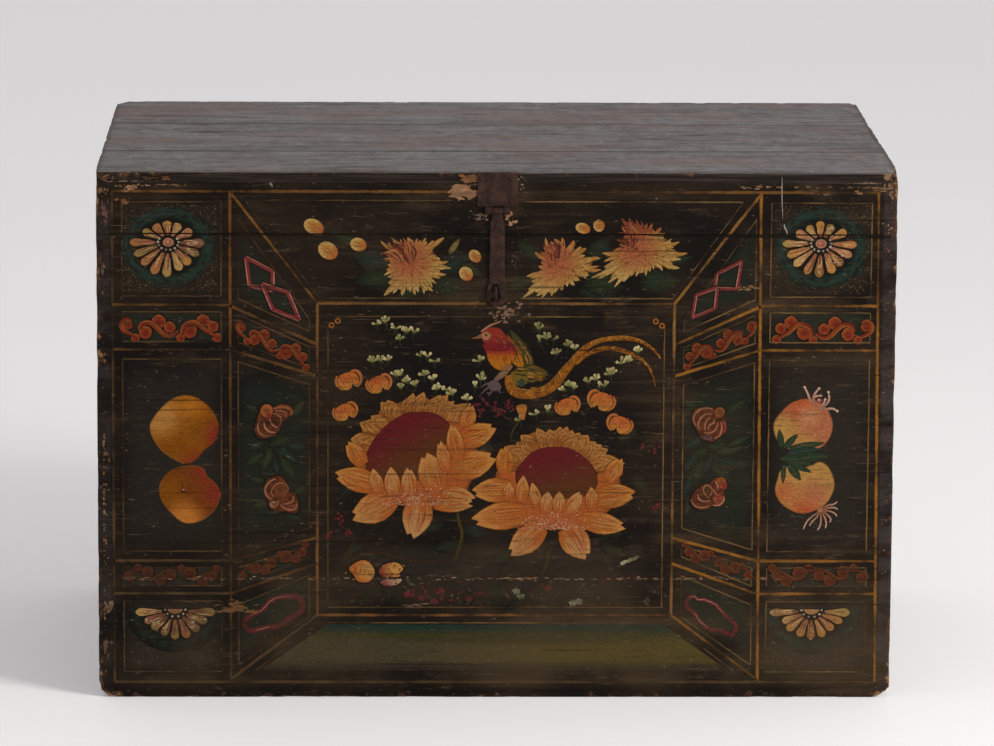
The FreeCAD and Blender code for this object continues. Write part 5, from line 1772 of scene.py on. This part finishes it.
# Sprigs, horned buds, berries and stems: the small growth round the bird and the blossoms.
# Pale green-cream drops in threes, orange buds with curled horns, dark red berries, olive stems.
SPRIG_GREEN = (92, 88, 46)
SPRIG_CREAM = (168, 152, 108)
HORN_ORANGE = (152, 80, 32)
HORN_PINK = (160, 92, 60)
HORN_YELLOW = (150, 98, 38)
BERRY_RED = (80, 24, 28)
BERRY_LIT = (110, 52, 54)
STEM_BROWN = (62, 40, 20)
STEM_OLIVE = (66, 56, 18)
sprigs = new_film(coats=3, levels=STACKED)
twig = random.Random(19)
for x, z in (
        (-135, 432), (-126, 434), (-114, 427), (-109, 415), (-102, 423), (-93, 423), (-140, 389),
        (-131, 390), (-122, 391), (-86, 396), (-78, 395), (-69, 390), (-113, 373), (-107, 375), (-101, 366),
        (-108, 359), (-92, 362), (-81, 374), (-72, 369), (-67, 358), (-57, 357), (-50, 352), (-33, 346),
        (47, 427), (48, 413), (56, 416), (64, 415), (80, 408), (88, 404), (67, 399), (127, 375), (131, 377),
        (104, 366), (112, 369), (82, 362), (77, 357), (87, 359), (116, 361), (122, 362), (159, 401),
        (140, 388), (148, 390), (-18, 369), (-13, 372), (-24, 361), (-20, 390), (44, 329), (58, 333),
        (26, 322), (98, 330)):
    fresh = twig.uniform(0.3, 1.0)
    lay_stroke(sprigs, [(x, z), (x + twig.uniform(-2, 2), z - 4), (x + twig.uniform(-4, 4), z - 9)], 0.9,
               mixed(LEAF_OLIVE, LEAF_DARK, twig.random()))
    lay_patch(sprigs, round_outline(x, z - 1, 3.0, 2.0, 12),
              faint(mixed(LEAF_DARK, SPRIG_GREEN, 0.4 * fresh), 0.6), coats=3.2)
    for turn in (160, 118, 76, 34):
        if twig.random() < 0.3:
            continue
        angle = math.radians(turn + twig.uniform(-18, 18))
        long = twig.uniform(5.0, 7.6)
        tip = (x + long * math.cos(angle), z + long * math.sin(angle))
        bright = fresh * twig.uniform(0.6, 1.2)
        lay_petal(sprigs, (x, z - 1), tip, twig.uniform(3.0, 4.4),
                  lambda along, ring, f=bright: mixed(SPRIG_GREEN, SPRIG_CREAM, along * f * 2.0 - 0.1),
                  PETAL_DROP, coats=4.2)
hang_film(sprigs, "sprigs")

horned = new_film(coats=2.6, levels=STACKED)
HORN_BODY = ((-14, -2), (-11, 4), (-5, 8.5), (2, 10.2), (8, 9), (12, 4.5), (13, -1), (10.5, -7),
             (7.5, -6.5), (4.8, -4.6), (3.6, -9), (0, -11.5), (-6, -11.5), (-12, -7.5))
HORN_CURL = ((3, 10.5), (8, 12), (12.5, 9.5), (15.2, 4), (14.5, -2), (11, -7.5))
HORN_HOOK = ((-13, 5), (-15, -1), (-12.5, -7.5), (-6, -12))


def horned_bud(x, z, size, side):
    def at(points):
        return [(x + px * size * side, z + pz * size) for px, pz in points]
    lay_patch(horned, flow(at([(px * 1.1, pz * 1.1) for px, pz in HORN_BODY]), 40, True), (24, 17, 12, 0.8))
    lay_patch(horned, flow(at(HORN_BODY), 40, True),
              lambda px, pz, ring: mixed(HORN_YELLOW, HORN_ORANGE, (pz - z + 8) / 12), (x - 1 * side, z),
              (1.0, 0.9, 0.7, 0.4), 0.7)
    for number in range(34):
        # short dry marks: red high on the lit side, pale towards the rim
        px = -11 + 22 * (number % 17 + twig.random()) / 17
        pz = twig.uniform(-8, 6)
        colour = twig.choice((HORN_YELLOW, HORN_ORANGE, HORN_PINK, (132, 66, 26)))
        colour = mixed(colour, (152, 54, 32), 1.5 * toward(px, pz, (-4.5, 4), 9))
        if px < 3 or pz > -3:
            lay_stroke(horned, at([(px, pz + 2), (px * 0.97, pz), (px * 0.92, pz - 2)]),
                       brush(1.2, 0.5, 0.3), colour, 0.9)
    for knots, wide in ((HORN_CURL, 3.4), (HORN_HOOK, 2.6)):
        line = flow(at(knots), 16)
        lay_stroke(horned, line, brush((wide + 1.6) * size, 0.6, 0.4), (58, 28, 14), 0.8)
        lay_stroke(horned, line, brush(wide * size, 0.6, 0.4),
                   lambda t, way: HORN_PINK if way * side > 0 else mixed(HORN_ORANGE, HORN_YELLOW, t), 0.85)


for bud in ((-167, 367, 0.95, 1), (-133, 363, 0.92, 1), (-171, 331, 0.9, 1), (80, 338, 0.9, 1),
            (119, 344, 1.0, -1), (140, 317, 0.94, -1)):
    horned_bud(*bud)
lay_petal(horned, (30, 322), (28, 340), 13,
          lambda along, ring: mixed(HORN_YELLOW, HORN_ORANGE, 1 - along), PETAL_DROP, coats=3.4)


def round_bud(outline, ground, lit, spot, marks):
    # a full bud at the bottom of the panel: outline, two colours, where it is lit, and short petal marks
    middle = middle_of(outline)
    around = [part_way(middle, point, 1.14) for point in outline]
    lay_patch(horned, flow(around, 36, True), (16, 11, 8, 0.85))

    def bud_shade(x, z, ring):
        return mixed(ground, lit, 1.6 * toward(x, z, spot, 18))
    lay_patch(horned, flow(outline, 36, True), bud_shade, rim=0.7)
    for number in range(marks):
        x, z = twig.gauss(middle[0], 6.5), twig.gauss(middle[1], 4)
        colour = twig.choice((ground, lit, mixed(lit, SPRIG_CREAM, 0.6), mixed(ground, LOTUS_LINE, 0.6)))
        lay_stroke(horned, [(x, z), (x + 1.2, z + twig.uniform(0, 3)), (x + 2.6, z + twig.uniform(-2, 4))],
                   brush(1.6, 0.4, 0.2), faint(colour, 0.7))


round_bud([(-166, 149.5), (-158.5, 157), (-148.5, 160), (-140.5, 154.5), (-137, 147), (-138.5, 140),
           (-144, 134.5), (-152, 134), (-157.5, 136.5), (-161, 143)],
          HORN_ORANGE, (164, 114, 54), (-142, 148), 26)
round_bud([(-132.5, 147), (-128, 153.5), (-119, 157), (-110.5, 156.5), (-104.5, 150), (-109, 144.5),
           (-108, 141), (-119, 140), (-129, 141)],
          (108, 42, 26), (164, 112, 52), (-112, 150), 18)
round_bud([(-131, 134.5), (-126, 137), (-112.5, 138), (-106, 138), (-109, 133), (-119, 129.5), (-127, 131)],
          (112, 56, 48), (150, 114, 88), (-108, 136), 12)
hang_film(horned, "horned_buds")

berries = new_film(coats=2.9)
for x, z, count, spread in (
        (-176, 206, 6, 6), (-187, 188, 6, 5), (-168, 192, 4, 5), (179, 287, 5, 6), (183, 223, 4, 6),
        (-81, 125, 4, 7), (-59, 120, 5, 7), (-40, 134, 3, 5), (166, 292, 3, 4), (-14, 340, 9, 9),
        (2, 330, 12, 10), (-22, 332, 8, 8), (14, 338, 7, 7), (-92, 122, 3, 5), (-20, 122, 3, 6)):
    for number in range(count):
        spot = (x + twig.gauss(0, spread * 0.5), z + twig.gauss(0, spread * 0.5))
        lit = (spot[0] - 0.6, spot[1] + 0.8)

        def berry_shade(px, pz, ring, lit=lit):
            return faint(mixed(BERRY_RED, BERRY_LIT, toward(px, pz, lit, 1.6)), 0.8)
        berry = round_outline(*spot, twig.uniform(1.4, 2.6), twig.uniform(1.3, 2.4), 9)
        lay_patch(berries, berry, berry_shade)
for knots, width, colour in (
        ([(-176, 200), (-160, 186), (-166, 168), (-158, 158)], 2.2, STEM_BROWN),
        ([(-158, 166), (-130, 168), (-100, 160), (-70, 158), (-52, 160)], 2.0, STEM_BROWN),
        ([(-44, 226), (-42, 206), (-38, 190), (-42, 172), (-46, 158)], 4.0, STEM_OLIVE),
        ([(60, 172), (58, 156), (52, 142)], 3.2, STEM_OLIVE),
        ([(30, 326), (20, 312), (16, 300)], 2.0, STEM_OLIVE),
        ([(-20, 350), (-8, 338), (6, 328), (20, 318)], 2.0, STEM_BROWN)):
    lay_stroke(berries, flow(knots, 16), brush(width, 0.8, 0.4), mixed(colour, LACQUER_DARK, 0.2),
               coats=2.6)
LOW_LEAVES = (
    (-60, 200, -96, 196, 16, LEAF_DARK), (-36, 196, -8, 190, 16, LEAF_BLUE),
    (-40, 178, -72, 172, 16, LEAF_DARK), (-150, 176, -172, 168, 12, LEAF_DARK),
    (110, 196, 146, 190, 18, LEAF_DARK), (120, 176, 150, 164, 16, LEAF_OLIVE),
    (20, 168, -6, 156, 16, LEAF_OLIVE), (156, 258, 172, 236, 14, LEAF_DARK),
    (-160, 250, -176, 232, 12, LEAF_BLUE), (-20, 300, -4, 286, 14, LEAF_DARK),
    (140, 300, 160, 312, 12, LEAF_DARK), (-150, 160, -128, 166, 10, LEAF_BLUE),
)
lay_leaves(berries, LOW_LEAVES, coats=2.2, cover=0.4)
for across, colour in ((0, (150, 150, 112)), (7, (120, 116, 82)), (13, (104, 96, 66))):
    lay_petal(berries, (142 + across, 155 + across * 0.4), (150 + across, 160 + across * 0.4), 4.4,
              (*colour, 0.7), coats=3)
hang_film(berries, "berries_and_stems")

low_growth = new_film(coats=2.2, levels=STACKED)
LOW_TINTS = ((40, 48, 30), (34, 44, 30), (46, 52, 34), (84, 36, 36), (92, 42, 34), (84, 74, 52),
             (64, 46, 28))
for number in range(120):
    # along the bottom of the panel: dabs of green, red and cream, half rubbed away
    spot = (min(max(twig.gauss(0, 85), -175), 175), twig.uniform(103, 138))
    colour = twig.choice(LOW_TINTS)
    tip = (spot[0] + twig.uniform(-8, 8), spot[1] + twig.uniform(2, 8))
    lay_petal(low_growth, spot, tip, twig.uniform(2, 5), faint(colour, twig.uniform(0.25, 0.6)), PETAL_DROP)
for x, z, colour in (
        (-100, 120, (104, 40, 44)), (-84, 116, (96, 38, 40)), (-62, 124, (110, 42, 46)),
        (-70, 112, (92, 36, 38)), (24, 124, (140, 138, 108)), (29, 118, (110, 112, 84)),
        (88, 110, (146, 138, 112)), (95, 112, (120, 112, 88)), (60, 128, (104, 48, 36)),
        (-30, 116, (98, 40, 38))):
    for turn in range(0, 360, 72):
        tip = (x + 4.6 * math.cos(math.radians(turn + x)), z + 3.8 * math.sin(math.radians(turn + x)))
        lay_petal(low_growth, (x, z), tip, 3.6, faint(colour, twig.uniform(0.3, 0.7)), PETAL_DROP)
hang_film(low_growth, "low_growth")

# Damage to the painted front: flaked patches, scuffs and scratches that show undercoat or bare wood,
# and a dark line of painted shade along the opening. They lie on top of the paint,
# most of them round the hasp, along the left edge and on the lid's front.
damage_and_seam_shade = new_film(coats=6.4)
chip = random.Random(47)
# how far from the middle the front is flat, in mm
FLAT = 443


def flake(x, z, wide, high, colour, pieces, largest=0.4):
    # a bare patch in ragged pieces of all sizes, thickest in its middle
    for number in range(pieces):
        size = largest * chip.uniform(0.12, 1.0) ** 1.6
        spot = (min(max(x + chip.gauss(0, 0.28) * wide, -FLAT), FLAT), z + chip.gauss(0, 0.28) * high)
        ragged = [(math.pi * k / 6, chip.uniform(0.4, 1.3)) for k in range(12)]
        outline = [(spot[0] + wide / 2 * size * math.cos(turn) * reach,
                    spot[1] + high / 2 * size * math.sin(turn) * reach) for turn, reach in ragged]
        worn = mixed(colour, mixed(colour, UNDERCOAT, 0.5), chip.random())
        lay_patch(damage_and_seam_shade, outline, worn, spot, rim=0.5)


def scratch(start, end, width, colour):
    line = [(start[0] + (end[0] - start[0]) * k / 6 + chip.uniform(-0.5, 0.5),
             start[1] + (end[1] - start[1]) * k / 6 + chip.uniform(-0.3, 0.3)) for k in range(7)]
    lay_stroke(damage_and_seam_shade, line, brush(width, 0.4, 0.2), colour, 0.4, coats=6.3)


WORN_WOOD = (160, 118, 84)
WORN_BROWN = (118, 78, 48)
WORN_GREY = (122, 104, 88)
for patch in (
        (-38, 582, 26, 15, WORN_WOOD, 16, 1.1), (-26, 597, 26, 9, WORN_BROWN, 18, 0.8),
        (15, 552, 10, 11, WORN_WOOD, 12, 0.8), (-17, 554, 22, 15, WORN_GREY, 44, 0.22),
        (25, 592, 17, 14, WORN_GREY, 34, 0.2), (8, 446, 34, 22, (118, 90, 70), 80, 0.2),
        (-294, 106, 44, 13, (104, 72, 40), 30, 0.5), (-442, 496, 7, 12, (96, 80, 70), 12, 0.6),
        (-441, 392, 6, 9, WORN_BROWN, 8, 0.6), (-441, 562, 8, 22, (92, 66, 60), 20, 0.5),
        (-440, 105, 11, 18, (110, 90, 68), 14, 0.6), (-444, 60, 8, 20, (92, 62, 52), 10, 0.6),
        (281, 474, 18, 6, (136, 100, 66), 22, 0.5), (-416, 572, 18, 10, WORN_BROWN, 14, 0.5),
        (-90, 108, 30, 5, (100, 84, 66), 18, 0.4), (440, 541, 8, 8, (140, 108, 76), 10, 0.5),
        (440, 516, 5, 7, (104, 62, 58), 5, 0.6), (441, 586, 6, 12, (130, 102, 74), 9, 0.5),
        (-110, 234, 24, 14, (170, 126, 96), 60, 0.16), (-31, 257, 8, 5, (186, 170, 150), 7, 0.8),
        (-60, 470, 40, 16, WORN_GREY, 26, 0.1), (20, 500, 10, 30, WORN_GREY, 24, 0.12),
        (-412, 585, 13, 8, WORN_WOOD, 10, 0.7), (-384, 598, 30, 5, WORN_BROWN, 22, 0.5),
        (-438, 596, 14, 6, (126, 92, 66), 16, 0.6), (-440, 582, 7, 9, (140, 104, 78), 8, 0.7),
        (366, 580, 16, 3, WORN_GREY, 10, 0.5), (403, 581, 10, 4, (150, 112, 74), 8, 0.7),
        (430, 586, 22, 3, (150, 118, 86), 16, 0.6), (441, 590, 8, 14, (136, 106, 78), 18, 0.5),
        (-252, 592, 3, 8, (160, 140, 116), 4, 0.8)):
    flake(*patch)
scratch((319, 600), (320, 552), 1.3, (150, 136, 122))
scratch((322, 546), (326, 534), 2.2, (150, 136, 122))
for number in range(120):
    long = chip.uniform(3, 26)
    x, z = chip.uniform(-440, 440 - long), chip.choice((chip.uniform(20, 590), chip.uniform(300, 470)))
    scratch((x, z), (x + long, z + chip.uniform(-0.6, 0.6)), chip.uniform(0.4, 0.9),
            faint(mixed(WORN_GREY, LACQUER_RUBBED, chip.random()), chip.uniform(0.3, 0.8)))
for number in range(120):
    x = chip.choice((chip.gauss(-441, 5), chip.gauss(443, 4), chip.uniform(-440, 440)))
    z = chip.uniform(10, 598)
    flake(x, z, chip.uniform(1.2, 4.0), chip.uniform(1.0, 3.4),
          chip.choice((WORN_GREY, WORN_BROWN, (88, 58, 52))), 2, 1.0)
for left, right, level, count in (
        (-60, 330, 138.5, 80), (-420, -60, 138.5, 24), (270, 436, 588, 34), (-442, -350, 589, 22)):
    # flakes along the board joints
    for number in range(count):
        x, z = chip.uniform(left, right), chip.gauss(level, 0.9)
        scratch((x, z), (x + chip.uniform(1.5, 8), z + chip.uniform(-0.4, 0.4)), chip.uniform(0.8, 1.9),
                mixed((146, 122, 96), WORN_BROWN, chip.random()))
for number in range(56):
    flake(chip.gauss(-443, 2), chip.uniform(150, 305), chip.uniform(1.6, 4.6), chip.uniform(2, 6),
          chip.choice(((124, 102, 76), WORN_BROWN, WORN_GREY)), 2, 1.0)
for number in range(90):
    # painted shade in the gap along the opening, thicker on the right, where the lid stands off a little
    x = -FLAT + 2 * FLAT * number / 90
    deep = 1.0 + 1.5 * min(1.0, max(0.0, (x - 150) / 150)) + chip.uniform(-0.3, 0.3)
    level = SEAM / MILLIMETRE - 1 - deep / 2
    lay_stroke(damage_and_seam_shade, [(x, level), (x + 5, level), (x + 9.5, level)], deep, (9, 7, 6, 0.85))
hang_film(damage_and_seam_shade, "damage_and_seam_shade")

# Stage: a plain pale floor, one soft lamp from the right and in front, and an even pale room.
# The camera stands where the picture was taken.
floor_mesh = bpy.data.meshes.new("floor")
FLOOR_REACH = 30.0
floor_mesh.from_pydata([(-FLOOR_REACH, -FLOOR_REACH, 0), (FLOOR_REACH, -FLOOR_REACH, 0),
                        (FLOOR_REACH, FLOOR_REACH, 0), (-FLOOR_REACH, FLOOR_REACH, 0)], [], [(0, 1, 2, 3)])
floor = bpy.data.objects.new("floor", floor_mesh)
bpy.context.scene.collection.objects.link(floor)
pale_floor = new_surface("pale_floor")
ground = pale_floor.node_tree
ground.nodes["Principled BSDF"].inputs["Base Color"].default_value = tone((236, 233, 231))
ground.nodes["Principled BSDF"].inputs["Roughness"].default_value = 0.7
FLOOR_LIFT = 0.2
seen = add_node(ground, "ShaderNodeLightPath", {}).outputs
lifted = times(larger(seen["Is Camera Ray"], seen["Is Glossy Ray"]), FLOOR_LIFT)
lift = add_node(ground, "ShaderNodeEmission", {"Color": tone((240, 238, 238)), "Strength": lifted})
whole = add_node(ground, "ShaderNodeAddShader",
                 {0: ground.nodes["Principled BSDF"].outputs[0], 1: lift.outputs[0]})
ground.links.new(whole.outputs[0], ground.nodes["Material Output"].inputs["Surface"])
floor_mesh.materials.append(pale_floor)

sky = bpy.data.worlds.new("soft_room")
bpy.context.scene.world = sky
sky.use_nodes = True
room = sky.node_tree
rays = add_node(room, "ShaderNodeLightPath", {}).outputs
plain = room.nodes["Background"]
plain.inputs["Color"].default_value = tone((232, 232, 235))
plain.inputs["Strength"].default_value = 0.62
shown = add_node(room, "ShaderNodeBackground", {"Color": tone((236, 236, 238)), "Strength": 1.0})
looked_at = larger(rays["Is Camera Ray"], rays["Is Glossy Ray"])
choice = add_node(room, "ShaderNodeMixShader", {0: looked_at, 1: plain.outputs[0], 2: shown.outputs[0]})
room.links.new(choice.outputs[0], room.nodes["World Output"].inputs["Surface"])


def soft_lamp(name, spot, aim, size, power):
    lamp = bpy.data.lights.new(name, "AREA")
    lamp.size = size
    lamp.energy = power
    thing = bpy.data.objects.new(name, lamp)
    thing.location = spot
    thing.rotation_mode = "QUATERNION"
    thing.rotation_quaternion = (Vector(aim) - Vector(spot)).to_track_quat("-Z", "Y")
    bpy.context.scene.collection.objects.link(thing)


soft_lamp("window", (3.6, -3.0, 2.6), (0, 0, 0.3), 1.6, 215)

CAMERA_SPOT = (-0.147, -6.564, 1.531)
CAMERA_PITCH = 10.42
CAMERA_YAW = 1.345
CAMERA_ROLL = 0.34
SENSOR_WIDTH = 36.0
FOCAL_PIXELS = 5667
PICTURE_WIDTH = 994
camera_data = bpy.data.cameras.new("camera")
camera_data.sensor_width = SENSOR_WIDTH
camera_data.lens = FOCAL_PIXELS / PICTURE_WIDTH * SENSOR_WIDTH
camera_data.clip_end = 100
camera = bpy.data.objects.new("camera", camera_data)
turn = Matrix.Rotation(math.radians(-CAMERA_YAW), 4, "Z")
turn = turn @ Matrix.Rotation(math.radians(90 - CAMERA_PITCH), 4, "X")
turn = turn @ Matrix.Rotation(math.radians(CAMERA_ROLL), 4, "Z")
camera.matrix_world = Matrix.Translation(CAMERA_SPOT) @ turn
bpy.context.scene.collection.objects.link(camera)
bpy.context.scene.camera = camera
bpy.context.scene.view_settings.view_transform = "Standard"
